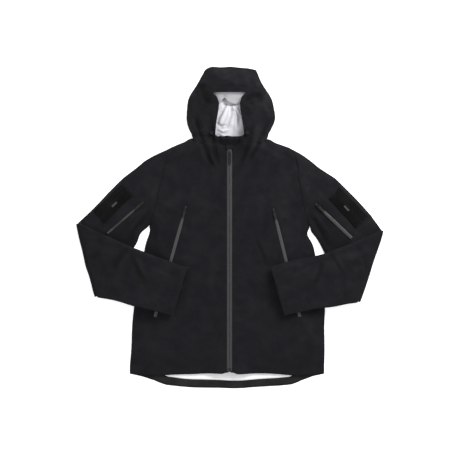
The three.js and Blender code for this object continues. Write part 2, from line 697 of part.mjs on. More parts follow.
function neck() {
  const low = path([[-NECK_HALF, NECK_Y], [NECK_HALF, NECK_Y]], 6);
  const high = path([[-NECK_HALF - 2, HOOD_Y], [NECK_HALF + 2, HOOD_Y]], 6);
  add("neck_band_back", strip(low, high, 1, flatHeight(FLOOR_GAP), CLOTH, SEAM), shell);
  sides.forEach((side) => {
    const lower = path([side.at([CHIN_HALF, NECK_Y]), side.at([NECK_HALF, NECK_Y + 4])], NECK_COLS);
    const upper = path([side.at([FACE_HALF_LOW, HOOD_Y]), side.at([NECK_HALF, HOOD_Y])], NECK_COLS);
    add(`neck_band_front_${side.name}`,
      strip(lower, upper, 2, between(frontHeight, hoodHeight), CLOTH, SEAM), shell);
  });
  const low2 = path([[-CHIN_HALF + 0.6, NECK_Y + 0.4], [CHIN_HALF - 0.6, NECK_Y + 0.4]], 6);
  const high2 = path([[-CHIN_HALF + 0.6, HOOD_Y - 2], [CHIN_HALF - 0.6, HOOD_Y - 2]], 6);
  add("chin_guard", strip(low2, high2, 2, (x, y) => frontHeight(x, y), CLOTH + SKIN, SEAM), shell);
}

const faceSide = [
  [FACE_HALF_LOW, HOOD_Y], [FACE_HALF_LOW - 4, 305], [FACE_HALF_MID, FACE_MID_Y], [FACE_HALF_MID + 6, 388],
  [FACE_HALF_TOP, FACE_TOP_Y],
];
const HOOD_ROWS = 10;
const FACE_ROWS = 7;

function hoodBack() {
  const low = path([[-NECK_HALF - 2, HOOD_Y], [NECK_HALF + 2, HOOD_Y]], 8);
  const west = curve([[-NECK_HALF - 2, HOOD_Y], ...hoodOutline.slice(1, 5)], HOOD_ROWS);
  const east = curve([[NECK_HALF + 2, HOOD_Y], ...hoodOutline.slice(10, 14).reverse()], HOOD_ROWS);
  const crown = curve(hoodOutline.slice(4, 11), 8);
  add("hood_back", sheet(low, crown, west, east, flatHeight(0), CLOTH), shell);
  const shrink = (line) => line.map((p) => v2(p.x * 0.955, HOOD_Y + 4 + (p.y - HOOD_Y) * 0.95));
  add("hood_lining", sheet(shrink(low), shrink(crown), shrink(west), shrink(east),
    flatHeight(CLOTH + GAP), SKIN), laminate);
}

function hoodFront() {
  sides.forEach((side) => {
    const inner = curve(faceSide.map(side.at), FACE_ROWS);
    const outline = (side.sign < 0 ? hoodOutline.slice(1, 4) : hoodOutline.slice(11, 14).reverse());
    const outer = curve([side.at([NECK_HALF, HOOD_Y]), ...outline], FACE_ROWS);
    const low = path([side.at([FACE_HALF_LOW, HOOD_Y]), side.at([NECK_HALF, HOOD_Y])], NECK_COLS);
    const top = path([side.at([FACE_HALF_TOP, FACE_TOP_Y]), outline.at(-1)], NECK_COLS);
    add(`hood_side_${side.name}`, sheet(low, top, inner, outer, hoodHeight, CLOTH), shell);
  });
  const low = path([hoodOutline[3], [-FACE_HALF_TOP, FACE_TOP_Y], [FACE_HALF_TOP, FACE_TOP_Y], hoodOutline[11]], 8);
  const west = path([hoodOutline[3], hoodOutline[4]], 4);
  const east = path([hoodOutline[11], hoodOutline[10]], 4);
  const crown = curve(hoodOutline.slice(4, 11), 8);
  add("hood_brim", sheet(low, crown, west, east, hoodHeight, CLOTH), shell);

  const edge = curve([[-46, FACE_TOP_Y + 13], [0, FACE_TOP_Y + 15], [46, FACE_TOP_Y + 13]], 8);
  const back = curve([[-40, FACE_TOP_Y + 27], [0, FACE_TOP_Y + 34], [40, FACE_TOP_Y + 27]], 8);
  const under = (x, y) => hoodHeight(x, y) - STIFFENER - 8 * GAP;
  add("brim_stiffener", strip(edge, back, 2, under, STIFFENER), plastic);
}

function hoodCord() {
  const right = [[LOCK_X, LOCK_Y + LOCK_SIZE / 2 + GAP], [FACE_HALF_LOW + 6, 305],
    [FACE_HALF_MID + 8, FACE_MID_Y], [FACE_HALF_MID + 16, 388], [FACE_HALF_TOP - 8, FACE_TOP_Y + 5]];
  const left = right.map(([x, y]) => [-x, y]);
  const line = curve([...left, ...right.reverse()], 24);
  const level = (p) => hoodHeight(p.x, p.y) - CORD_RADIUS - 5 * GAP;
  const route = new THREE.CatmullRomCurve3(line.map((p) => new THREE.Vector3(p.x, p.y, level(p))));
  const section = new THREE.Shape().absarc(0, 0, CORD_RADIUS, 0, 2 * Math.PI);
  const cord = new THREE.ExtrudeGeometry(section, { steps: 48, curveSegments: 4, extrudePath: route });
  add("hood_cord", outward(cord), webbing);
}

function cordLock(side) {
  const level = hoodHeight(side.sign * LOCK_X, LOCK_Y) + CLOTH + 3 * GAP;
  const half = LOCK_SIZE / 2;
  const outer = new THREE.CylinderGeometry(half, half * 0.92, LOCK_SIZE * 0.72, 16);
  outer.rotateX(Math.PI / 2);
  outer.translate(0, 0, LOCK_SIZE * 0.36);
  const bore = new THREE.CylinderGeometry(PLUNGER_RADIUS + GAP, PLUNGER_RADIUS + GAP, LOCK_SIZE, 12);
  bore.rotateX(Math.PI / 2);
  bore.translate(0, 0, LOCK_SIZE / 2 + 2);
  const barrel = fromSolid(solid(outer).subtract(solid(bore)));
  barrel.translate(side.sign * LOCK_X, LOCK_Y, level);
  add(`cord_lock_${side.name}`, barrel, plastic);
  const plunger = new THREE.CylinderGeometry(PLUNGER_RADIUS, PLUNGER_RADIUS, 4.5, 12);
  plunger.rotateX(Math.PI / 2);
  plunger.translate(side.sign * LOCK_X, LOCK_Y, level + 5 + 2.25);
  add(`cord_plunger_${side.name}`, outward(plunger), plastic);
}

backPanel();
neckFacing();
sides.forEach(frontPanel);
stormFlap();
mainZip();
sides.forEach((side) => {
  sideZips(side);
  pocketBag(side);
  sleeve(side);
  loopField(side);
  forearm(side);
  elbowFold(side);
});
neck();
hoodBack();
hoodFront();
hoodCord();
sides.forEach(cordLock);

export default jacket;
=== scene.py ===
"""Hardshell jacket laid flat, sleeves folded over the front: cloth, materials, light and camera."""

import math

import bmesh
import bpy
import numpy as np
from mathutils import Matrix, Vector, noise
from mathutils.bvhtree import BVHTree
from mathutils.kdtree import KDTree


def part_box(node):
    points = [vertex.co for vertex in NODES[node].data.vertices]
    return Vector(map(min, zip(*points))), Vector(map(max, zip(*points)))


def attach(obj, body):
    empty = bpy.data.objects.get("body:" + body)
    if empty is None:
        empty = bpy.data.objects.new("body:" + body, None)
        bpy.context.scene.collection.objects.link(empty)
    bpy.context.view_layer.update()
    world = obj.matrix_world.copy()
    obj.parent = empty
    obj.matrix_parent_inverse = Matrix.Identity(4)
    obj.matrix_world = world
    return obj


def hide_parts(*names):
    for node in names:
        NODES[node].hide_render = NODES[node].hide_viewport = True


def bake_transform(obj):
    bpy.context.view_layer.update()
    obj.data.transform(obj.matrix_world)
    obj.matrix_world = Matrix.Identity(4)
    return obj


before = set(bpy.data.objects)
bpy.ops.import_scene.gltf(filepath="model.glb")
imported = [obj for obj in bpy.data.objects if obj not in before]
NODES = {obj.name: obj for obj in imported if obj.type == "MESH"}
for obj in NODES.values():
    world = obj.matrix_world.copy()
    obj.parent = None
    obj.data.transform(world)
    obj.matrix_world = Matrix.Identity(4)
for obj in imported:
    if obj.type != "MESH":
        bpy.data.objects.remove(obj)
SCENE = bpy.context.scene
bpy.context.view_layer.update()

MM = 0.001
SIDES = (("left", -1), ("right", 1))
CLOTH = 1.0 * MM          # how thick the shell cloth is drawn,
LINER = 0.6 * MM          # the lining,
FILM = 0.7 * MM           # and the film over the zips
LAYER_GAP = 0.5 * MM      # least room between a forearm's two layers
LOWEST = 0.3 * MM         # soft pieces stay above this height
FRAMES = 34               # of the cloth simulation
SAG = 7.0 * MM            # furthest that the simulated cloth may drop from its pattern,
RISE = 3.5 * MM           # rise from it,
DRIFT = 4.0 * MM          # and slide sideways
FOLD_DEPTH = 2.6          # millimetres of fold that shade it fully
FAR = 99.0                # millimetres from any seam or hem, where a piece has none
WELD = 1e-5               # vertices of one piece this close are one
SEAM_WELD = 0.9 * MM      # and so are vertices of neighbouring pieces, at their seam
FACES_UP = 0.25           # a face's normal z from which it belongs to the upper side
TAPED = (13, 15)          # millimetres from an edge over which its dark tape ends
HOOD_FOOT = 0.272         # y where the hood starts
FLOOR_Z = -0.0006         # the studio floor, just below the jacket
NARROWEST = 10 * MM       # narrower sheets are skipped when the sheets are gone through at the end
PLAIN_SHARE = 0.35        # of its rectangle that a flat sheet fills at least
STRIP_SHARE = 0.98        # of its rectangle that a strip cut straight fills


# ---------------------------------------- node materials

class Shader:
    """A material and short calls to add nodes to it."""

    def __init__(self, name):
        self.material = bpy.data.materials.new(name)
        self.material.use_nodes = True
        self.tree = self.material.node_tree
        self.out = self.tree.nodes["Material Output"]
        self.bsdf = self.tree.nodes["Principled BSDF"]
        self.place = self.tree.nodes.new("ShaderNodeTexCoord").outputs["Object"]

    def node(self, kind, inputs=None, **settings):
        made = self.tree.nodes.new(kind)
        for key, value in settings.items():
            setattr(made, key, value)
        for key, value in (inputs or {}).items():
            self.put(made.inputs[key], value)
        return made

    def put(self, socket, value):
        if isinstance(value, bpy.types.NodeSocket):
            self.tree.links.new(value, socket)
        else:
            socket.default_value = value

    def math(self, operation, a, b=0.0):
        return self.node("ShaderNodeMath", {0: a, 1: b}, operation=operation).outputs[0]

    def noise(self, scale, detail=3.0, rough=0.55, stretch=None):
        place = self.place
        if stretch:
            place = self.node("ShaderNodeMapping", {"Vector": place, "Scale": stretch}).outputs[0]
        made = self.node("ShaderNodeTexNoise", {"Vector": place, "Scale": scale, "Detail": detail,
                                                "Roughness": rough})
        return made.outputs["Fac"]

    def wave(self, scale, direction, distortion=0.0):
        inputs = {"Vector": self.place, "Scale": scale, "Distortion": distortion}
        made = self.node("ShaderNodeTexWave", inputs, wave_type="BANDS", bands_direction=direction)
        return made.outputs["Fac"]

    def ramp(self, value, low, high, out_low=0.0, out_high=1.0):
        made = self.node("ShaderNodeMapRange", {"Value": value, "From Min": low, "From Max": high,
                                                "To Min": out_low, "To Max": out_high})
        made.interpolation_type = "SMOOTHSTEP"
        return made.outputs[0]

    def mix(self, share, a, b):
        made = self.node("ShaderNodeMix", data_type="RGBA")
        self.put(made.inputs["Factor"], share)
        self.put(made.inputs[6], a)
        self.put(made.inputs[7], b)
        return made.outputs[2]

    def field(self, name):
        return self.node("ShaderNodeAttribute", attribute_name=name).outputs["Fac"]

    def line(self, distance, at, half):
        """1 on a line at that distance in millimetres, 0 away from it."""
        away = self.math("ABSOLUTE", self.math("SUBTRACT", distance, at))
        return self.ramp(away, half * 0.4, half, 1.0, 0.0)

    def bump(self, height, strength, distance, below=None):
        made = self.node("ShaderNodeBump", {"Height": height, "Strength": strength, "Distance": distance})
        if below is not None:
            self.put(made.inputs["Normal"], below)
        return made.outputs[0]

    def finish(self, colour, rough, normal=None, **uniform):
        self.put(self.bsdf.inputs["Base Color"], colour)
        self.put(self.bsdf.inputs["Roughness"], rough)
        if normal is not None:
            self.put(self.bsdf.inputs["Normal"], normal)
        for key, value in uniform.items():
            self.bsdf.inputs[key.replace("_", " ")].default_value = value
        return self.material


def grey(value, warm=0.0, cool=0.0):
    return (value * (1 + warm), value, value * (1 + cool), 1.0)


def weave(shader, threads):
    """Plain weave: two sets of fine threads, with a slower unevenness."""
    across = shader.wave(threads, "X", 0.4)
    along = shader.wave(threads, "Y", 0.4)
    return shader.math("MULTIPLY", shader.math("ADD", across, along), 0.5)


def shell_cloth(name, hem_at=7.0):
    """Matt plain-woven face cloth; its stitching follows the seam and hem distances kept in each mesh; shade
    is painted into the hollows of its folds and a highlight onto their crests.
    """
    s = Shader(name)
    broad = s.noise(9, 3, 0.5)
    fine = s.noise(420, 2, 0.7)
    base = s.mix(s.ramp(broad, 0.25, 0.75), grey(0.0034, -0.04, 0.42), grey(0.0038, -0.03, 0.38))
    base = s.mix(s.ramp(fine, 0.35, 0.75, 0.0, 0.3), base, grey(0.0066, 0, 0.3))
    seam = s.field("seam")
    hem = s.field("hem")
    fold = s.line(seam, 0.0, 1.5)
    stitch = s.line(seam, 2.4, 0.9)
    stitch_hem = s.line(hem, hem_at, 1.1)
    worn = s.ramp(hem, 0.0, 3.5, 1.0, 0.0)
    base = s.mix(s.math("MULTIPLY", fold, 0.08), base, grey(0.0020))
    # Painted shade in the hollows of the folds, and a painted highlight on their crests.
    base = s.mix(s.math("MULTIPLY", s.field("painted_fold_shade"), 0.75), base, grey(0.0014, 0, 0.2))
    base = s.mix(s.math("MULTIPLY", s.field("painted_fold_highlight"), 0.35), base, grey(0.0078, 0, 0.2))
    dash = s.ramp(s.noise(300, 0), 0.42, 0.5)
    dashed = s.math("ADD", s.math("MULTIPLY", dash, 0.2), 0.1)
    thread = s.math("MAXIMUM", s.math("MULTIPLY", stitch, dashed), s.math("MULTIPLY", stitch_hem, 0.6))
    base = s.mix(thread, base, grey(0.0022))
    patchy = s.ramp(s.noise(60, 3), 0.4, 0.7, 0.1, 0.5)
    base = s.mix(s.math("MULTIPLY", worn, patchy), base, grey(0.010, 0, 0.1))
    height = s.math("ADD", s.math("MULTIPLY", weave(s, 330), 0.5), s.math("MULTIPLY", fine, 0.5))
    normal = s.bump(height, 0.35, 0.0003)
    lines = s.math("SUBTRACT", 1.0, s.math("MAXIMUM", fold, s.math("MAXIMUM", stitch, stitch_hem)))
    normal = s.bump(lines, 0.35, 0.0005, normal)
    rough = s.ramp(s.noise(30, 3), 0.3, 0.7, 0.72, 0.9)
    return s.finish(base, rough, normal, Specular_IOR_Level=0.12, Sheen_Weight=0.01, Sheen_Roughness=0.5)


def laminate(name, value, cool=0.02):
    """Inner face of the three-layer cloth: a fine knit with a faint printed grid, its edges taped dark, with
    shade painted into the hollows of its folds.
    """
    s = Shader(name)
    broad = s.noise(14, 3)
    base = s.mix(s.ramp(broad, 0.3, 0.7), grey(value * 0.9, 0, cool), grey(value, 0, cool))
    printed = s.math("MAXIMUM", s.ramp(s.wave(48, "X"), 0.93, 0.99), s.ramp(s.wave(48, "Y"), 0.93, 0.99))
    base = s.mix(s.math("MULTIPLY", printed, 0.16), base, grey(value * 0.55, 0, cool))
    # Painted shade in the hollows of the folds.
    base = s.mix(s.math("MULTIPLY", s.field("painted_fold_shade"), 0.4), base, grey(value * 0.3, 0, cool))
    base = s.mix(s.field("taped"), base, grey(0.0040, -0.03, 0.38))
    height = s.math("ADD", weave(s, 260), s.noise(300, 2))
    normal = s.bump(height, 0.3, 0.0004)
    rough = s.ramp(broad, 0.3, 0.7, 0.75, 0.9)
    return s.finish(base, rough, normal, Specular_IOR_Level=0.2, Sheen_Weight=0.1, Sheen_Roughness=0.5)


def woven_tape(name, value):
    """Ribbed tape of facings, loop and label."""
    s = Shader(name)
    rib = s.wave(420, "DIAGONAL", 0.5)
    base = s.mix(rib, grey(value * 0.75), grey(value))
    base = s.mix(s.ramp(s.noise(40, 3), 0.4, 0.75, 0.0, 0.4), base, grey(value * 1.5))
    normal = s.bump(s.math("ADD", rib, s.noise(350, 2)), 0.4, 0.0004)
    return s.finish(base, s.ramp(s.noise(25, 2), 0.3, 0.7, 0.7, 0.9), normal, Specular_IOR_Level=0.2)


def loop_pile(name):
    """Near-black loop fastener, with a stitched edge."""
    s = Shader(name)
    loops = s.noise(650, 3, 0.75)
    broad = s.noise(26, 3)
    base = s.mix(loops, grey(0.0003), grey(0.0012, 0, 0.05))
    base = s.mix(s.ramp(broad, 0.4, 0.75, 0.0, 0.5), base, grey(0.0012, 0, 0.05))
    hem = s.field("hem")
    base = s.mix(s.math("MULTIPLY", s.line(hem, 2.6, 0.9), 0.7), base, grey(0.0036))
    normal = s.bump(loops, 0.8, 0.0012)
    normal = s.bump(s.math("SUBTRACT", 1.0, s.line(hem, 2.6, 1.0)), 0.5, 0.0006, normal)
    rough = s.ramp(broad, 0.3, 0.7, 0.85, 1.0)
    return s.finish(base, rough, normal, Specular_IOR_Level=0.1, Sheen_Weight=0.03)


def zip_film(name, value):
    """Rubbery film over the zip: a groove where the two halves meet, coils showing through beside it, and
    shadow painted along its sides where it meets the cloth.
    """
    s = Shader(name)
    across = s.field("across")
    along = s.field("along")
    coils = s.math("SINE", s.math("MULTIPLY", along, 2.6))
    near = s.line(across, 1.9, 2.2)
    groove = s.line(across, 0.0, 0.9)
    edge = s.field("edge")
    base = s.mix(s.ramp(s.noise(40, 3), 0.3, 0.7), grey(value * 0.86, 0, 0.03), grey(value, 0, 0.03))
    base = s.mix(s.math("MULTIPLY", groove, 0.4), base, grey(value * 0.3))
    # Painted shadow along both sides of the film, where the cloth edges meet it.
    base = s.mix(s.math("MULTIPLY", s.ramp(edge, 0.0, 1.6, 1.0, 0.0), 0.8), base, grey(value * 0.25))
    # Darker stretches of the film: under the sliders, pullers and garages at the tops, and painted shade on
    # one stretch of the left arm zip.
    base = s.mix(s.field("dark"), base, grey(0.0045))
    height = s.math("ADD", s.math("MULTIPLY", s.math("MULTIPLY", coils, near), 0.5), s.noise(200, 2))
    normal = s.bump(height, 0.35, 0.0005)
    rough = s.ramp(s.noise(50, 3), 0.3, 0.7, 0.38, 0.58)
    return s.finish(base, rough, normal, Specular_IOR_Level=0.4)


def painted_metal(name, value):
    """Painted die-cast metal with long scratches."""
    s = Shader(name)
    scratches = s.noise(90, 5, 0.7, (1, 9, 1))
    base = s.mix(s.ramp(scratches, 0.5, 0.72), grey(value * 0.6), grey(value * 1.5))
    normal = s.bump(s.noise(500, 3), 0.12, 0.0003)
    return s.finish(base, s.ramp(scratches, 0.35, 0.7, 0.25, 0.5), normal, Metallic=0.85)


def moulded(name, value):
    """Moulded plastic with a fine grain."""
    s = Shader(name)
    grain = s.noise(700, 2)
    base = s.mix(s.ramp(s.noise(60, 3), 0.35, 0.7), grey(value * 0.7, 0, 0.08), grey(value, 0, 0.08))
    normal = s.bump(grain, 0.3, 0.0003)
    return s.finish(base, s.ramp(s.noise(80, 3), 0.3, 0.7, 0.5, 0.7), normal, Specular_IOR_Level=0.2)


def braid(name, value):
    """Elastic cord."""
    s = Shader(name)
    twist = s.wave(260, "DIAGONAL", 1.0)
    base = s.mix(twist, grey(value * 0.5), grey(value))
    normal = s.bump(twist, 0.8, 0.0006)
    return s.finish(base, s.ramp(s.noise(60, 2), 0.3, 0.7, 0.6, 0.8), normal, Specular_IOR_Level=0.25)


def studio_floor():
    s = Shader("studio_floor")
    base = s.mix(s.noise(1.2, 2), grey(0.9), grey(0.92))
    return s.finish(base, 0.9, None, Specular_IOR_Level=0.0, Emission_Color=(1, 1, 1, 1),
                    Emission_Strength=0.35)


SHELL = shell_cloth("shell_cloth")
SLEEVE = shell_cloth("sleeve_cloth", 16.0)
# One laminate in three brightnesses: INNER is its white drawn lighter than the hood's, painted light against
# the shade on the hem strip, and the brim's is darker, painted shade under the brim.
INNER = laminate("inner_laminate", 0.74)
HOOD_INNER = laminate("hood_laminate", 0.52, 0.06)
SHADED_BRIM_LAMINATE = laminate("brim_laminate_painted_shade", 0.34, 0.05)
TAPE = woven_tape("lining_tape", 0.0052)
LABEL = woven_tape("plain_label", 0.036)
PILE = loop_pile("loop_pile")
MAIN_FILM = zip_film("main_zip_film", 0.0135)
POCKET_FILM = zip_film("pocket_zip_film", 0.023)
ARM_FILM = zip_film("arm_zip_film", 0.020)
METAL = painted_metal("slider_metal", 0.025)
PLASTIC = moulded("moulded_plastic", 0.008)
LOCK_PLASTIC = moulded("lock_plastic", 0.0012)
CORD = braid("face_cord", 0.006)


# ---------------------------------------- mesh helpers

def link(data, name):
    made = bpy.data.objects.new(name, data)
    SCENE.collection.objects.link(made)
    return made


def coordinates(mesh):
    co = np.empty(len(mesh.vertices) * 3)
    mesh.vertices.foreach_get("co", co)
    return co.reshape(-1, 3)


def set_coordinates(mesh, co):
    mesh.vertices.foreach_set("co", np.asarray(co, float).ravel())
    mesh.update()


def shaped(thing):
    """The mesh of an object with its modifiers applied."""
    graph = bpy.context.evaluated_depsgraph_get()
    return bpy.data.meshes.new_from_object(thing.evaluated_get(graph))


def nearest(points):
    """A tree of points to ask distances of."""
    tree = KDTree(len(points))
    for index, p in enumerate(points):
        tree.insert(p, index)
    tree.balance()
    return tree


def smooth(mesh):
    mesh.polygons.foreach_set("use_smooth", [True] * len(mesh.polygons))
    mesh.update()


def surface(mesh):
    """A mesh to send rays at."""
    return BVHTree.FromPolygons([tuple(v.co) for v in mesh.vertices],
                                [tuple(p.vertices) for p in mesh.polygons])


def welded(node):
    """A frame solid to work on, its faces joined."""
    work = bmesh.new()
    work.from_mesh(NODES[node].data)
    bmesh.ops.remove_doubles(work, verts=work.verts, dist=WELD)
    return work


def done(work, name):
    """The mesh that the work gave."""
    mesh = bpy.data.meshes.new(name)
    work.to_mesh(mesh)
    work.free()
    return mesh


def lift(*names):
    """Upper face of flat pieces, welded along their seams; each piece keeps its number."""
    whole = bmesh.new()
    for index, name in enumerate(names):
        part = welded(name)
        part.normal_update()
        bmesh.ops.delete(part, geom=[f for f in part.faces if f.normal.z < FACES_UP], context="FACES")
        for face in part.faces:
            face.material_index = index
        passing = done(part, "passing")
        whole.from_mesh(passing)
        bpy.data.meshes.remove(passing)
    bmesh.ops.remove_doubles(whole, verts=whole.verts, dist=SEAM_WELD)
    bmesh.ops.join_triangles(whole, faces=whole.faces[:], cmp_materials=True, angle_face_threshold=0.8,
                             angle_shape_threshold=1.0)
    return done(whole, "pattern")


def refine(mesh, levels):
    """Catmull-Clark subdivision that keeps every point of the outline where it is."""
    open_edges, _ = borders(mesh)
    firm = np.zeros(len(mesh.vertices), np.float32)
    firm[[v for edge in open_edges for v in edge]] = 1
    keep = mesh.attributes.get("crease_vert") or mesh.attributes.new("crease_vert", "FLOAT", "POINT")
    keep.data.foreach_set("value", firm)
    made = link(mesh, "refining")
    divide = made.modifiers.new("Subdivision", "SUBSURF")
    divide.levels = levels
    divide.render_levels = levels
    divide.boundary_smooth = "PRESERVE_CORNERS"
    finer = shaped(made)
    bpy.data.objects.remove(made)
    bpy.data.meshes.remove(mesh)
    finer.attributes.remove(finer.attributes["crease_vert"])
    return finer


def segment_distance(x, y, a, b):
    """Distance from points to a segment, how far along it they are as a share, and the signed offset."""
    ax, ay = a[0] * MM, a[1] * MM
    dx, dy = (b[0] - a[0]) * MM, (b[1] - a[1]) * MM
    length = math.hypot(dx, dy)
    share = np.clip(((x - ax) * dx + (y - ay) * dy) / length ** 2, 0, 1)
    px, py = x - ax - share * dx, y - ay - share * dy
    signed = (dx * (y - ay) - dy * (x - ax)) / length
    return np.hypot(px, py), share, signed


def step(value, low, high):
    """0 below low, 1 above high, and a soft slope between."""
    t = np.clip((value - low) / (high - low), 0, 1)
    return t * t * (3 - 2 * t)


def rough(co, scale, seed):
    """Smooth unevenness from -1 to 1 with features about scale millimetres wide."""
    k = 1 / (scale * MM)
    return np.array([noise.noise(Vector((x * k + seed, y * k - seed, seed * 0.7))) for x, y, _ in co])


def crease(co, points, height, width, lean=0.0):
    """A soft fold along a line of points, dying out at its ends; a hollow where its height is negative."""
    x, y = co[:, 0], co[:, 1]
    best = np.full(len(co), 1e9)
    along = np.zeros(len(co))
    side = np.zeros(len(co))
    spans = list(zip(points, points[1:]))
    for index, (a, b) in enumerate(spans):
        d, share, signed = segment_distance(x, y, a, b)
        closer = d < best
        best = np.where(closer, d, best)
        along = np.where(closer, (index + share) / len(spans), along)
        side = np.where(closer, signed, side)
    ends = step(along, 0.0, 0.3) * (1 - step(along, 0.7, 1.0))
    w = width * MM
    profile = np.exp(-(best / w) ** 2)
    return height * MM * ends * (profile + lean * (side / w) * profile)


def borders(mesh):
    """Vertices of open edges, and of edges between two numbered pieces, as lists of edge vertex pairs."""
    faces = {}
    for polygon in mesh.polygons:
        for key in polygon.edge_keys:
            faces.setdefault(key, []).append(polygon.material_index)
    open_edges = [k for k, v in faces.items() if len(v) == 1]
    seams = [k for k, v in faces.items() if len(v) == 2 and v[0] != v[1]]
    return open_edges, seams


def distance_to(co, edges):
    """Distance in millimetres of every vertex to those edges."""
    if not edges:
        return np.full(len(co), 10 * FAR)
    points = []
    for a, b in edges:
        count = max(1, int(np.linalg.norm(co[a] - co[b]) / (3 * MM)))
        points.extend(co[a] + (co[b] - co[a]) * k / count for k in range(count + 1))
    tree = nearest(points)
    return np.array([tree.find(p)[2] for p in co]) / MM


def give(mesh, name, values):
    """Keeps a value for each vertex, or one for all, which the materials read."""
    field = mesh.attributes.get(name) or mesh.attributes.new(name, "FLOAT", "POINT")
    field.data.foreach_set("value", np.full(len(mesh.vertices), values, np.float32))


# Painted shade for the hollows of the folds and a painted highlight for their crests, read by the materials.
def give_folds(mesh, folds):
    give(mesh, "painted_fold_shade", np.clip(-folds / (FOLD_DEPTH * MM), 0, 1))
    give(mesh, "painted_fold_highlight", np.clip(folds / (FOLD_DEPTH * MM), 0, 1))


class Panel:
    """A stretch of cloth: its pattern from the frame, how it is held, and what it becomes."""

    def __init__(self, name, *nodes, stiff=(), growth=0.006, gravity=0.12, bending=0.35):
        self.name = name
        self.nodes = nodes
        self.mesh = refine(lift(*nodes), 2)
        self.rest = coordinates(self.mesh).copy()
        self.stiff = stiff
        self.growth = growth
        self.gravity = gravity
        self.bending = bending
        self.object = None
        self.tree = None

    def mask(self, co):
        """0 on stiff lines, 1 in the free cloth."""
        free = np.ones(len(co))
        for a, b in self.stiff:
            d, _, _ = segment_distance(co[:, 0], co[:, 1], a, b)
            free = np.minimum(free, step(d / MM, 9.0, 24.0))
        return free

    def hang(self, seed):
        """Sets the cloth up for the simulation."""
        self.object = link(self.mesh, self.name)
        open_edges, _ = borders(self.mesh)
        free = np.minimum(self.mask(self.rest), step(distance_to(self.rest, open_edges), 1.0, 26.0))
        start = self.rest.copy()
        start[:, 2] += rough(self.rest, 34, seed) * 1.2 * MM * free
        start[:, 2] += rough(self.rest, 80, seed + 5) * 1.5 * MM * free
        set_coordinates(self.mesh, start)
        group = self.object.vertex_groups.new(name="held")
        for index, value in enumerate(free):
            weight = float((1 - value) ** 2)
            if weight > 0.001:
                group.add([index], weight, "REPLACE")
        cloth = self.object.modifiers.new("Cloth", "CLOTH")
        for key, value in {"quality": 5, "mass": 0.12, "tension_stiffness": 18, "compression_stiffness": 14,
                           "shear_stiffness": 8, "bending_stiffness": self.bending, "air_damping": 3,
                           "vertex_group_mass": "held", "pin_stiffness": 1, "use_dynamic_mesh": False,
                           "shrink_min": -self.growth}.items():
            setattr(cloth.settings, key, value)
        cloth.settings.effector_weights.gravity = self.gravity
        cloth.collision_settings.use_collision = False
        cloth.point_cache.frame_start = 1
        cloth.point_cache.frame_end = FRAMES

    def take(self):
        """Takes the simulated shape, with how far it may have moved eased to a limit."""
        now = shaped(self.object)
        moved = coordinates(now) - self.rest
        bpy.data.meshes.remove(now)
        self.object.modifiers.clear()
        bpy.data.objects.remove(self.object)
        flat = np.linalg.norm(moved[:, :2], axis=1) + 1e-9
        moved[:, :2] *= (DRIFT * np.tanh(flat / DRIFT) / flat)[:, None]
        up = moved[:, 2]
        moved[:, 2] = np.where(up > 0, RISE * np.tanh(up / RISE), SAG * np.tanh(up / SAG))
        set_coordinates(self.mesh, self.rest + moved)


PANELS = {}


def panel(name, *nodes, **settings):
    PANELS[name] = Panel(name, *nodes, **settings)


def simulate():
    """Lets every panel sag and wrinkle for a while."""
    for index, cloth in enumerate(PANELS.values()):
        cloth.hang(3.1 + 2.7 * index)
    SCENE.frame_start = 1
    SCENE.frame_end = FRAMES
    for number in range(1, FRAMES + 1):
        SCENE.frame_set(number)
    for cloth in PANELS.values():
        cloth.take()
    SCENE.frame_set(1)


def thicken(made, thickness=CLOTH, rim=0):
    """Gives a sheet its thickness below it; rim is which of its two materials the edge shows."""
    layer = made.modifiers.new("Thickness", "SOLIDIFY")
    layer.thickness = thickness
    layer.offset = -1
    layer.use_even_offset = False
    layer.material_offset = 1 if len(made.data.materials) > 1 else 0
    layer.material_offset_rim = rim
    solid = shaped(made)
    made.modifiers.clear()
    old = made.data
    made.data = solid
    bpy.data.meshes.remove(old)


def separate(mesh, index, name, materials):
    """One numbered piece of a mesh as its own object."""
    part = bmesh.new()
    part.from_mesh(mesh)
    bmesh.ops.delete(part, geom=[f for f in part.faces if f.material_index != index], context="FACES")
    for face in part.faces:
        face.material_index = 0
        face.smooth = True
    made = done(part, name)
    for material in materials:
        made.materials.append(material)
    return link(made, name)


SHEETS = []


def cut(piece, layers):
    """Notes the smallest rectangle round a sheet, and its area; layers is 2 if both its faces are drawn."""
    area = sum(p.area for p in piece.data.polygons) / layers
    plan = coordinates(piece.data)[:, :2]
    best = None
    for degrees in range(0, 90, 3):
        c, n = math.cos(math.radians(degrees)), math.sin(math.radians(degrees))
        turned = plan @ np.array([[c, -n], [n, c]])
        width, length = turned.max(0) - turned.min(0)
        if best is None or width * length < best[0] * best[1]:
            best = (float(width), float(length))
    SHEETS.append((piece, *best, area))


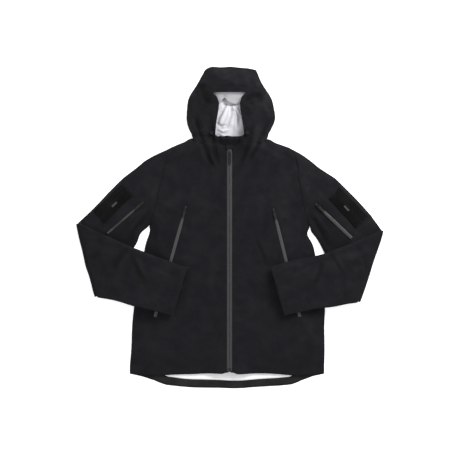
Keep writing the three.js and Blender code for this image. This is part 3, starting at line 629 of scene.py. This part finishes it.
# Where the laid cloth bulges past its straight pattern: place, how far it goes, and how wide the bulge is.
BULGES = [
    ((-440, -75), (-12, -2), 75), ((-425, -165), (-9, -2), 60), ((-455, 10), (-5, 2), 50),
    ((-385, 80), (-5, 6), 70), ((-320, 140), (-3, 4), 60), ((-148, 246), (-1, 5), 24),
    ((-119, 250), (0, 11), 15), ((-215, 215), (-4, 3), 50), ((440, -80), (11, -2), 75),
    ((420, -165), (8, -3), 60), ((452, -10), (6, 2), 50), ((385, 70), (5, 5), 70),
    ((320, 135), (4, 4), 60), ((148, 246), (0, 4), 24), ((119, 250), (0, 10), 15),
    ((215, 210), (6, 3), 50), ((385, -215), (4, -9), 45), ((310, -235), (4, -6), 45),
    ((-388, -210), (-6, -4), 40), ((-300, -230), (0, -3), 40), ((-120, 380), (-6, 4), 32),
    ((-127, 320), (-4, 0), 32), ((-62, 474), (-3, 7), 26), ((-113, 262), (5, 0), 22),
    ((124, 378), (8, 3), 32), ((128, 320), (12, 0), 36), ((77, 468), (3, 4), 24),
    ((112, 258), (-1, 0), 22), ((-288, -300), (-6, 0), 70), ((-288, -420), (-12, -4), 75),
    ((-200, -455), (-8, -10), 60), ((200, -452), (2, -10), 60), ((285, -430), (-2, -4), 60),
    ((0, -482), (0, -5), 110), ((-110, -474), (-2, -5), 60), ((110, -474), (0, -2), 60),
    ((-240, -22), (13, 2), 21), ((-264, -20), (-9, 5), 20), ((240, -28), (-14, 0), 21),
    ((263, -30), (-1, 5), 21), ((-124, -122), (5, 3), 12), ((-441, -122), (-6, 0), 22),
]

# The folds of the two elbows, below their corners.
ELBOW_AXES = [((-438, -46), (-394, -209)), ((436, -62), (385, -220))]


def calm(co):
    """Nothing bulges past the fold of an elbow in the layers that meet there when the forearm opens."""
    near = np.min([segment_distance(co[:, 0], co[:, 1], a, b)[0] for a, b in ELBOW_AXES], axis=0)
    return step(near, 4 * MM, 32 * MM)[:, None]


def drift(co):
    """How far laid cloth strays sideways: its bulges, and a slow wander, since no outline is straight."""
    x, y = co[:, 0] / MM, co[:, 1] / MM
    out = np.zeros((len(co), 2))
    for (cx, cy), (dx, dy), wide in BULGES:
        share = np.exp(-((x - cx) ** 2 + (y - cy) ** 2) / wide ** 2)
        out += share[:, None] * np.array((dx, dy))
    k = 1 / 70
    wander = [[noise.noise(Vector((a * k, b * k, seed))) for seed in (3.3, 9.1)] for a, b in zip(x, y)]
    return (out + np.array(wander) * 2.0) * MM


def settle(key, body, upper, lower, details=(), wrinkles=0.5, levels=1, thickness=CLOTH, seam_depth=0.08,
           floor=1.3, shape=None, hemmed=None, reach=0.0, upon=None):
    """Finishes a panel: finer, creased and seamed, thick, and one object for each piece of the frame."""
    cloth = PANELS[key]
    mesh = refine(cloth.mesh, levels)
    co = coordinates(mesh)
    open_edges, seams = borders(mesh)
    rim = distance_to(co, open_edges)
    hem_edges = [e for e in open_edges if hemmed and hemmed(*(co[e[0]] + co[e[1]])[:2] / 2 / MM)]
    hem = distance_to(co, hem_edges)
    seam = distance_to(co, seams)
    loose = cloth.mask(co)
    free = np.minimum(loose, step(rim, 0.5, 12))
    if shape is not None:
        co[:, 2] += shape(co) * loose
    lifted = np.zeros(len(co))
    for wide, seed, high in ((46, 11.3, 0.9), (19, 4.7, 0.45), (8, 8.1, 0.16)):
        lifted += rough(co, wide, seed) * high * MM * wrinkles
    lifted += rough(co, 14, 2.2) * 0.55 * MM * wrinkles * np.exp(-seam / 10) * step(seam, 1, 5)
    lifted *= free
    folds = np.zeros(len(co))
    for fold in details:
        folds += crease(co, *fold) * loose
    lifted += folds
    lifted -= seam_depth * MM * np.exp(-(seam / 2.5) ** 2)
    co[:, 2] = np.maximum(co[:, 2] + lifted, floor * MM)
    for index in range(len(co) if upon else 0):
        below = height_on(upon, co[index, 0], co[index, 1])
        if below is not None:
            co[index, 2] = max(co[index, 2], below + CLOTH + LAYER_GAP)
    co[:, 1] -= reach * MM * np.exp(-((co[:, 1] - HOOD_FOOT) / 0.03) ** 2)
    astray = drift(co) * loose[:, None]
    if not key.startswith(("over", "hood")):
        astray *= calm(co)
    co[:, :2] += astray
    set_coordinates(mesh, co)
    give(mesh, "seam", seam)
    give(mesh, "hem", hem)
    give_folds(mesh, folds)
    faces_down = lower in (SHELL, SLEEVE)
    give(mesh, "taped", (1 - step(rim, *TAPED)) * faces_down)
    cloth.tree = surface(mesh)
    for index, node in enumerate(cloth.nodes):
        piece = separate(mesh, index, node + "_cloth", [upper, lower])
        cut(piece, 1)
        thicken(piece, thickness, int(faces_down))
        smooth(piece.data)
        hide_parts(node)
        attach(piece, body)
    bpy.data.meshes.remove(mesh)
    cloth.mesh = None


def top_of(tree, x, y):
    """Where a tree's surface is first met from above, if it is."""
    hit = tree.ray_cast(Vector((x, y, 1.0)), Vector((0, 0, -1)))[0]
    return None if hit is None else hit.z


def height_on(key, x, y):
    """Height of a finished panel's upper face at a place."""
    return top_of(PANELS[key].tree, x, y)


# ---------------------------------------- the cloth

# The zips from end to end, and the loop fields' corners, in millimetres; the cloth is stiff along them.
MAIN_ZIP = ((0, -438), (0, 250))
POCKETS = {"left": ((-130, 61), (-223, -271)), "right": ((131, 54), (211, -271))}
ARMS = {"left": ((-257, 74), (-367, -22)), "right": ((258, 68), (367, -36))}
FIELDS = {
    "left": [(-287, 90), (-320, 123), (-404, 42), (-371, 9)],
    "right": [(294, 82), (326, 114), (408, 27), (376, -6)],
}


def ring(points):
    """The sides of a closed outline."""
    return tuple(zip(points, points[1:] + points[:1]))


for side, _ in SIDES:
    panel(f"front_{side}", f"front_panel_{side}", f"sleeve_front_{side}",
          stiff=(MAIN_ZIP, POCKETS[side], ARMS[side], *ring(FIELDS[side])))
    panel(f"over_{side}", f"forearm_over_{side}", growth=0.012, bending=0.2)
    panel(f"under_{side}", f"forearm_under_{side}", growth=0.0, gravity=0.0)
panel("back", "back_panel", "sleeve_back_left", "sleeve_back_right", growth=0.0, gravity=0.0)
panel("lining", "back_lining", growth=0.0, gravity=0.0)
panel("hood_top", "hood_side_left", "hood_side_right", "hood_brim", growth=0.012, bending=0.3)
panel("hood_back", "hood_back", growth=0.0, gravity=0.0)
panel("hood_lining", "hood_lining", growth=0.02, gravity=0.0, bending=0.08)

simulate()

# Each fold: the points it runs through, its height or depth, its width, and how far it leans over.
BODY_FOLDS = {
    "left": [
        ([(-103, 260), (-82, 232), (-63, 202)], 2.6, 7, 0.9),
        ([(-93, 291), (-70, 245), (-50, 201)], -1.8, 6, 0.4),
        ([(-70, 150), (-95, 60), (-90, -40)], 1.2, 16, 0.5),
        ([(-40, -40), (-62, -150), (-48, -260)], 1.3, 15, 0.5),
        ([(-140, -60), (-112, -170), (-126, -300)], 1.2, 15, -0.5),
        ([(-255, -330), (-210, -380), (-130, -410)], 1.6, 11, 0.6),
        ([(-212, 150), (-236, 96), (-246, 40)], 1.8, 9, 0.8),
        ([(-226, 66), (-258, 26), (-282, -22), (-306, -62)], -3.0, 9, -0.4),
        ([(-236, 56), (-272, 14), (-306, -24)], 2.2, 9, -0.8),
        ([(-330, 60), (-372, 0), (-410, -40)], 1.3, 9, 0.6),
        ([(-190, 190), (-150, 120), (-160, 60)], 1.2, 14, 0.4),
    ],
    "right": [
        ([(90, 253), (72, 226), (52, 202)], 2.4, 7, -0.9),
        ([(84, 286), (66, 240), (46, 196)], -1.6, 6, 0.4),
        ([(72, -28), (88, -60), (101, -88), (114, -136)], -2.4, 5, 0.6),
        ([(80, -34), (98, -66), (112, -100)], 1.4, 9, 0.9),
        ([(58, 120), (84, 40), (70, -20)], 1.2, 15, 0.5),
        ([(46, -150), (70, -250), (50, -350)], 1.3, 15, -0.5),
        ([(250, -300), (200, -372), (120, -405)], 1.6, 11, -0.6),
        ([(214, 150), (240, 92), (250, 34)], 1.8, 9, -0.8),
        ([(226, 60), (256, 18), (278, -30), (302, -70)], -2.4, 8, 0.4),
        ([(238, 48), (272, 8), (308, -34)], 2.0, 9, 0.8),
        ([(332, 52), (374, -12), (408, -54)], 1.3, 9, -0.6),
        ([(186, 184), (150, 116), (164, 50)], 1.2, 14, 0.4),
    ],
}
ARM_FOLDS = {
    "left": [
        ([(-300, -58), (-313, -76), (-333, -102), (-356, -138)], -4.4, 8, 0.6),
        ([(-304, -70), (-322, -104), (-340, -130)], 1.8, 9, 0.9),
        ([(-296, -72), (-286, -98), (-266, -146), (-244, -190)], -4.4, 9, -0.5),
        ([(-282, -80), (-268, -116), (-248, -160)], 1.8, 9, -0.8),
        ([(-420, -40), (-380, -74), (-330, -92)], 2.0, 10, 0.7),
        ([(-400, -150), (-350, -168), (-300, -196)], 1.8, 10, 0.6),
        ([(-246, -120), (-214, -140), (-176, -146)], 1.8, 9, 0.6),
        ([(-236, -210), (-210, -216), (-182, -232)], 1.5, 8, 0.6),
        ([(-372, -30), (-398, -84), (-404, -130)], -1.8, 9, 0.5),
    ],
    "right": [
        ([(298, -74), (318, -104), (344, -150)], -2.6, 6, -0.6),
        ([(306, -78), (330, -112), (346, -136)], 1.8, 9, -0.9),
        ([(276, -92), (266, -134), (244, -186)], -2.4, 7, 0.5),
        ([(262, -100), (252, -140), (238, -170)], 1.6, 9, 0.8),
        ([(418, -60), (378, -92), (332, -108)], 2.0, 10, -0.7),
        ([(392, -166), (344, -184), (296, -206)], 1.8, 10, -0.6),
        ([(240, -126), (208, -146), (170, -150)], 1.8, 9, -0.6),
        ([(232, -214), (206, -222), (176, -236)], 1.5, 8, -0.6),
        ([(372, -48), (396, -100), (398, -146)], -1.8, 9, 0.5),
    ],
}

NECK_FOLDS = [
    ([(-108, 352), (-98, 302), (-78, 234), (-58, 192), (-36, 168)], -5.0, 6, 0.4),
    ([(-120, 330), (-106, 272), (-88, 216), (-62, 176)], 3.2, 9, 0.8),
    ([(-58, 334), (-52, 280), (-43, 220), (-31, 168)], -4.4, 6, 0.3),
    ([(-82, 340), (-72, 270), (-54, 206), (-34, 166)], 3.4, 7, 0.6),
    ([(112, 334), (100, 274), (76, 226), (46, 182)], -4.6, 6, -0.4),
    ([(124, 320), (110, 258), (86, 212), (56, 174)], 3.0, 9, -0.8),
    ([(72, 330), (62, 258), (42, 202), (26, 168)], -4.2, 6, -0.3),
    ([(92, 334), (80, 258), (56, 204), (36, 170)], 3.2, 7, -0.6),
]
PLAIN_RISE, HOOD_RISE = 21.0, 37.0  # millimetres that the fronts lie high in general, and at the hood


def body_shape(co):
    """The front rises to the hood at the neck and lies down towards the hem."""
    x, y, z = np.abs(co[:, 0]) / MM, co[:, 1] / MM, co[:, 2]
    neck = (HOOD_RISE / PLAIN_RISE - 1) * step(y, 165, 252) * step(x, 14, 56)
    hem = -0.72 * step(-y, 350, 438) * step(x, 14, 80)
    return (z - 3 * MM) * (neck + hem)


def at_hem(x, y):
    return y < -430


def at_cuff(x, y):
    return abs(x) < 176 and abs(y + 195) < 75 and abs(x) < 172 - 0.31 * (y + 267) + 6


for side, _ in SIDES:
    settle(f"front_{side}", "torso", SHELL, INNER, BODY_FOLDS[side] + NECK_FOLDS, floor=2.8,
           shape=body_shape, hemmed=at_hem)
    settle(f"under_{side}", f"forearm_{side}", INNER, SLEEVE, wrinkles=0.3, hemmed=at_cuff)
    settle(f"over_{side}", f"forearm_{side}", SLEEVE, INNER, ARM_FOLDS[side], 1.0, hemmed=at_cuff,
           upon=f"under_{side}")
settle("back", "torso", INNER, SHELL, wrinkles=0.25, hemmed=at_hem)
settle("lining", "torso", INNER, INNER, thickness=LINER, seam_depth=0, floor=2.2)

HOOD_FOLDS = [
    ([(-112, 300), (-96, 350), (-100, 400)], 2.2, 9, 0.7),
    ([(112, 300), (98, 352), (100, 404)], 2.0, 9, -0.7),
    ([(-58, 352), (-74, 380), (-82, 408), (-86, 436)], -11, 12, 0.0),
    ([(46, 366), (66, 380), (82, 386), (102, 396)], -10, 12, 0.0),
    ([(-92, 372), (-104, 396), (-98, 430)], 2.0, 8, 0.5),
    ([(-60, 416), (0, 421), (66, 414)], -1.2, 4, 0.6),
    ([(-58, 470), (-30, 440), (20, 446)], 1.8, 10, 0.6),
    ([(66, 468), (40, 436), (4, 428)], 1.6, 10, -0.6),
    ([(-60, 292), (-72, 330), (-58, 372)], 1.8, 8, -0.8),
    ([(62, 292), (72, 332), (58, 372)], 1.8, 8, 0.8),
]


def at_face(x, y):
    return abs(x) < 60 and 262 < y < 410


settle("hood_top", "hood", SHELL, HOOD_INNER, HOOD_FOLDS + NECK_FOLDS, 0.9, floor=3.5, hemmed=at_face)
settle("hood_back", "hood", HOOD_INNER, SHELL, wrinkles=0.25)

LINING_FOLDS = [
    ([(-2, 374), (-16, 342), (-40, 296)], 4.0, 4, 0.9),
    ([(-6, 372), (-24, 338), (-46, 304)], -3.0, 3, 0.0),
    ([(2, 372), (-2, 330), (-24, 284)], 3.4, 4, -0.9),
    ([(6, 370), (6, 330), (-12, 282)], -3.0, 3, 0.0),
    ([(6, 372), (20, 330), (14, 276)], 3.6, 4, 0.9),
    ([(12, 368), (28, 326), (26, 282)], -1.6, 3, 0.0),
    ([(14, 366), (36, 330), (42, 294)], 3.0, 4, -0.9),
    ([(-34, 356), (-40, 322), (-44, 290)], 2.4, 4, 0.6),
    ([(-46, 314), (-26, 304), (-4, 306)], -2.6, 3, 0.5),
    ([(-42, 300), (-20, 290), (2, 296)], 2.4, 3.4, 0.8),
    ([(-2, 352), (22, 344), (42, 318)], -2.4, 3, 0.4),
    ([(-34, 286), (-12, 278), (8, 284)], 2.2, 3.4, 0.7),
    ([(-24, 370), (0, 364), (26, 372)], -2.6, 3, 0.0),
]


def lining_shape(co):
    """The inside of the hood lies in a soft heap in the face opening."""
    x, y = co[:, 0] / MM, co[:, 1] / MM
    return 13 * MM * np.exp(-(x / 62) ** 4) * step(y, 240, 300) * (1 - step(y, 380, 430))


settle("hood_lining", "hood", HOOD_INNER, HOOD_INNER, LINING_FOLDS, 1.6, levels=2, thickness=LINER,
       seam_depth=0, floor=3.2, shape=lining_shape, reach=9)


def grid(name, columns, rows, points):
    """A mesh of rows of points, its faces up."""
    wide = columns + 1
    corners = [(j * wide + i, j * wide + i + 1, (j + 1) * wide + i + 1, (j + 1) * wide + i)
               for j in range(rows) for i in range(columns)]
    mesh = bpy.data.meshes.new(name)
    mesh.from_pydata(points, [], corners)
    mesh.update()
    if sum(p.normal.z for p in mesh.polygons) < 0:
        mesh.flip_normals()
    return mesh


def patch(name, columns, rows, place, materials, thickness, nodes=(), details=(), strays=False,
          raised=1.0):
    """A sheet drawn on a grid: place gives a point in millimetres for shares across and along."""
    mesh = grid(name, columns, rows, [Vector(place(i / columns, j / rows)) * MM
                                      for j in range(rows + 1) for i in range(columns + 1)])
    for material in materials:
        mesh.materials.append(material)
    co = coordinates(mesh)
    folds = sum((crease(co, *fold) for fold in details), np.zeros(len(co)))
    co[:, 2] += folds * raised
    if strays:
        co[:, :2] += drift(co)
    set_coordinates(mesh, co)
    give(mesh, "seam", FAR)
    give(mesh, "hem", FAR)
    give_folds(mesh, folds)
    made = link(mesh, name)
    cut(made, 1)
    thicken(made, thickness)
    smooth(made.data)
    if nodes:
        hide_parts(*nodes)
    return made


def wave_at(x, y, scale, seed):
    return noise.noise(Vector((x / scale + seed, y / scale - seed, seed)))


def brim_band(i, j):
    """Facing inside the brim, pulled into a small peak, its free edge hanging."""
    half = 55.5 - 13 * j
    x = -half + 2 * half * i
    peaks = ((15, -15, 9), (-5, -34, 9), (-4, 14, 12))
    peak = sum(high * math.exp(-((x - at) / wide) ** 2) for high, at, wide in peaks)
    low = 370 + peak + 2.5 * wave_at(x, 0, 16, 2.2)
    y = 404.5 + (low - 404.5) * j
    z = 33.5 - 7 * abs(x / 56) ** 3 - 8 * j ** 1.5 + 1.2 * wave_at(x, y, 13, 7.7) * j
    z += 0.8 * math.exp(-((j - 0.86) / 0.08) ** 2)
    return x, y, z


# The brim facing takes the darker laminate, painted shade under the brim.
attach(patch("brim_facing_cloth", 60, 26, brim_band, [SHADED_BRIM_LAMINATE], LINER), "hood")


def edge_height(key, x, y):
    """Height of a panel in millimetres, taken a little further in where the place is past its edge."""
    for inward in (0, 3, 6, 10, 15):
        found = height_on(key, (x - math.copysign(inward, x)) * MM, y * MM)
        if found is not None:
            return found / MM
    return 4.0


def slope(value, low, high):
    """step() of one number."""
    return float(step(np.array(value), low, high))


def neck_bridge(side, sign):
    """Cloth between the top of a front and the foot of the hood; its folds are those of its neighbours."""
    def place(i, j):
        x0, y0 = 40 + 75 * i, 246.0 + 5 * i
        x1, y1 = 43.5 + 72.5 * i, 277.0
        z0 = edge_height(f"front_{side}", sign * x0, y0 - 1)
        z1 = edge_height("hood_top", sign * x1, y1 + 1)
        x, y = x0 + (x1 - x0) * j, y0 + (y1 - y0) * j
        under = 0.9 * (1 - slope(j, 0.0, 0.2) + slope(j, 0.8, 1.0))
        return sign * x, y, z0 + (z1 - z0) * j - under + 0.2
    made = patch(f"neck_band_front_{side}_cloth", 44, 10, place, [SHELL, INNER], CLOTH,
                 [f"neck_band_front_{side}"], NECK_FOLDS, strays=True, raised=0.0)
    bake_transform(made)


for side, sign in SIDES:
    neck_bridge(side, sign)


def chin(i, j):
    """Chin guard: soft, its free edge wavy and turned over."""
    x = -46 + 92 * i
    side = "left" if x < 0 else "right"
    foot = edge_height(f"front_{side}", x if abs(x) > 4 else math.copysign(4, x or 1), 245) - 1.2
    top = 268.5 + 6 * slope(abs(x), 34, 45) + 2.4 * wave_at(x, 0, 15, 5.1)
    low = 246 - 9 * math.exp(-(x / 14) ** 2)
    y = low + (top - low) * min(j / 0.86, 1)
    rise = (41.5 - foot) * slope(j, -0.1, 0.75)
    roll = -2.6 * slope(j, 0.86, 1.0)
    fold = 1.5 * wave_at(x, y * 0.5, 9, 3.3) * slope(abs(x), 3, 12)
    return x, y + 1.2 * slope(j, 0.86, 0.93), foot + 0.2 + rise + roll + fold


CHIN_FOLDS = [
    ([(-40, 284), (-30, 262), (-24, 238)], -2.2, 4, 0.5),
    ([(-14, 276), (-12, 260), (-10, 244)], -1.6, 3, 0.5),
    ([(12, 276), (13, 260), (11, 244)], -1.8, 3, -0.5),
    ([(38, 282), (30, 262), (26, 238)], -2.2, 4, -0.5),
]
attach(patch("chin_guard_cloth", 60, 16, chin, [SHELL, INNER], CLOTH, ["chin_guard"],
              CHIN_FOLDS), "torso")


# ---------------------------------------- soft pieces that follow a panel

def soften(node, material, body="torso", follow=(), uneven=0.3, cell=6.0, blend=None, strays=False):
    """A thin soft piece drawn from its frame solid: finer, uneven, and moved with the panel it is sewn to."""
    work = welded(node)
    bmesh.ops.dissolve_limit(work, angle_limit=0.01, verts=work.verts, edges=work.edges)
    bmesh.ops.triangulate(work, faces=work.faces)
    for _ in range(4):
        long = [e for e in work.edges if e.calc_length() > cell * MM]
        if not long:
            break
        bmesh.ops.subdivide_edges(work, edges=long, cuts=1)
        bmesh.ops.triangulate(work, faces=work.faces)
    mesh = done(work, node + "_cloth")
    co = coordinates(mesh)
    moved = rough(co, 26, 5.5) * uneven * MM + rough(co, 10, 9.5) * uneven * 0.4 * MM
    astray = co[:, :2] + drift(co) if strays else co[:, :2]
    for key, followed in follow:
        rest = surface(NODES[followed].data)
        for index, p in enumerate(co):
            now = height_on(key, *astray[index])
            was = top_of(rest, p[0], p[1])
            if now is not None and was is not None:
                moved[index] += now - was
    co[:, 2] = np.maximum(co[:, 2] + moved, LOWEST)
    co[:, :2] = astray
    set_coordinates(mesh, co)
    mesh.materials.append(material)
    mesh.polygons.foreach_set("material_index", [0] * len(mesh.polygons))
    made = link(mesh, node + "_cloth")
    cut(made, 2)
    give(mesh, "seam", FAR)
    give_folds(mesh, 0)
    give(mesh, "hem", rim_distance(node, co))
    smooth(mesh)
    mesh.set_sharp_from_angle(angle=0.7)
    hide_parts(node)
    if blend:
        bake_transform(made)
    else:
        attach(made, body)


def rim_distance(node, co):
    """Distance in millimetres from the outline of a thin piece seen from above."""
    work = welded(node)
    work.normal_update()
    points = []
    for edge in work.edges:
        faces = edge.link_faces
        if len(faces) == 2 and (faces[0].normal.z > FACES_UP) != (faces[1].normal.z > FACES_UP):
            a, b = edge.verts[0].co, edge.verts[1].co
            count = max(1, int((a - b).length / (2 * MM)))
            points.extend(a.lerp(b, k / count) for k in range(count + 1))
    work.free()
    tree = nearest([(p.x, p.y, 0) for p in points])
    return np.array([tree.find((p[0], p[1], 0))[2] for p in co]) / MM


soften("back_hem_facing", TAPE, uneven=0.25, strays=True)
soften("back_neck_facing", TAPE, uneven=0.2)
soften("hanger_loop", TAPE, uneven=0.1, cell=3)
soften("blank_label", LABEL, uneven=0.1, cell=4)
BOTH_FRONTS = [(f"front_{side}", f"front_panel_{side}") for side, _ in SIDES]
WHOLE_HOOD = [("hood_top", node) for node in ("hood_side_left", "hood_side_right", "hood_brim")]
soften("storm_flap", INNER, uneven=0.1, cell=10, follow=BOTH_FRONTS)
soften("hood_cord", CORD, body="hood", uneven=0.0, cell=4, follow=WHOLE_HOOD)
soften("brim_stiffener", PLASTIC, body="hood", uneven=0.0, cell=5,
       follow=[("hood_top", "hood_brim")])
for side, _ in SIDES:
    sleeve = [(f"front_{side}", f"sleeve_front_{side}")]
    soften(f"pocket_bag_{side}", INNER, cell=12,
           follow=[(f"front_{side}", f"front_panel_{side}")])
    soften(f"loop_field_{side}", PILE, cell=4, uneven=0.25, strays=True, follow=sleeve)
    soften(f"blank_tag_{side}", LABEL, cell=3, uneven=0.05, follow=sleeve)
    soften(f"cuff_facing_{side}", TAPE, body=f"forearm_{side}",
           follow=[(f"over_{side}", f"forearm_over_{side}")])
    soften(f"elbow_fold_{side}", SLEEVE, cell=5, uneven=0.5, strays=True,
           blend=("torso", f"forearm_{side}", (0, 0, 0.001), (0, 0, 0.021)))
soften("neck_band_back", SHELL, cell=6, uneven=0.2, strays=True,
       blend=("torso", "hood", (0, 0.250, 0), (0, 0.272, 0)))
soften("main_zip_garage", SHELL, cell=3, uneven=0.1)


# ---------------------------------------- zips

def film_strip(node, low, top, inner, outer, material, spear=0.0, dark=()):
    """Half or whole of a zip, between two offsets from its line: film over coils, with a groove along it."""
    lo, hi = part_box(node)
    a, b = Vector((*low, 0)) * MM, Vector((*top, 0)) * MM
    length = (b - a).length
    u = (b - a) / length
    v = Vector((u.y, -u.x, 0))
    rows, columns = max(24, int(length / (4 * MM))), 10
    reach = max(abs(inner), abs(outer))
    verts, across, along, edge, shade = [], [], [], [], []
    for r in range(rows + 1):
        s = length * r / rows
        from_top = (length - s) / MM
        narrow = 0.42 + 0.58 * slope(from_top, 0.0, spear)
        dim = max([slope(from_top, start - 4, start) * (1 - slope(from_top, end, end + 5))
                   for start, end in dark] or [0.0])
        for k in range(columns + 1):
            offset = inner + (outer - inner) * k / columns
            share = abs(offset) / reach
            ridge = 1 - 0.85 * slope(share, 0.25, 1.0) - 0.45 * math.exp(-(share / 0.1) ** 2)
            p = a + u * s + v * (offset * narrow * MM)
            p.z = hi.z - (hi.z - lo.z) * 0.5 * (1 - ridge)
            verts.append(p)
            across.append(abs(offset * narrow))
            along.append(s / MM)
            edge.append((reach - abs(offset)) * narrow)
            shade.append(dim)
    mesh = grid(node + "_film", columns, rows, verts)
    for name, values in (("across", across), ("along", along), ("edge", edge), ("dark", shade)):
        give(mesh, name, values)
    mesh.materials.append(material)
    made = link(mesh, node + "_film")
    thicken(made, FILM)
    smooth(made.data)
    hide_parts(node)
    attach(made, "torso")


for side, sign in SIDES:
    film_strip(f"main_zip_tape_{side}", (0, -434), (0, 243), sign * 0.1, sign * 8, MAIN_FILM, 26)
# For each side: how far down its pocket zip is dark, and its arm zip's half width and dark parts; the left
# arm zip's stretch from 84 to 120 mm below its top is painted shade.
for side, pocket_dark, half, arm_dark in (("left", 38, 3.2, [(-9, 18), (84, 120)]),
                                          ("right", 20, 5, [(-9, 8)])):
    top, low = POCKETS[side]
    film_strip(f"pocket_zip_{side}", low, top, -5, 5, POCKET_FILM, 70, [(-9, pocket_dark)])
    top, low = ARMS[side]
    film_strip(f"arm_zip_{side}", low, top, -half, half, ARM_FILM, 60, arm_dark)


# ---------------------------------------- hardware

def harden(node, material):
    """A frame solid shown as it is, with rounded edges."""
    made = NODES[node]
    made.data.materials.clear()
    made.data.materials.append(material)
    bevel = made.modifiers.new("Rounded edges", "BEVEL")
    bevel.width = 0.25 * MM
    bevel.segments = 2
    bevel.limit_method = "ANGLE"
    bevel.angle_limit = 0.6


for node in NODES:
    if "slider" in node:
        harden(node, METAL)
    elif "puller" in node:
        harden(node, METAL if node.startswith("main") else PLASTIC)
    elif "cord_lock" in node or "plunger" in node:
        harden(node, LOCK_PLASTIC)
    elif node == "main_zip_retainer_box":
        harden(node, PLASTIC)


# ---------------------------------------- the width each sheet was cut to, worked out and not kept

for piece, width, length, area in SHEETS:
    width, length = sorted((width, length))
    if not PLAIN_SHARE < area / (width * length) < 1:  # a curved or folded strip was cut straight
        width = area / (STRIP_SHARE * length)
    if width < NARROWEST or piece.name in ("brim_stiffener_cloth", "hood_cord_cloth"):
        continue


# ---------------------------------------- stage, light, camera

floor = bpy.data.meshes.new("studio_floor")
floor.from_pydata([(x, y, FLOOR_Z) for x, y in ((-9, -9), (9, -9), (9, 9), (-9, 9))], [], [(0, 1, 2, 3)])
floor.materials.append(studio_floor())
link(floor, "studio_floor")

world = bpy.data.worlds.new("studio")
world.use_nodes = True
background = world.node_tree.nodes["Background"].inputs
background["Color"].default_value = (1, 1, 1, 1)
background["Strength"].default_value = 1.0
SCENE.world = world


def area_light(name, place, size, energy):
    data = bpy.data.lights.new(name, "AREA")
    data.shape = "SQUARE"
    data.size = size
    data.energy = energy
    made = link(data, name)
    made.location = place
    made.rotation_euler = (-Vector(place)).to_track_quat("-Z", "Y").to_euler()


area_light("key", (1.7, 2.3, 2.5), 1.6, 165)
area_light("fill", (-2.2, -1.0, 3.0), 2.4, 20)

camera = link(bpy.data.cameras.new("camera"), "camera")
camera.data.lens = 100
camera.data.sensor_width = 36
camera.location = (0.0015, -0.0105, 3.853)
SCENE.camera = camera
SCENE.view_settings.view_transform = "Standard"
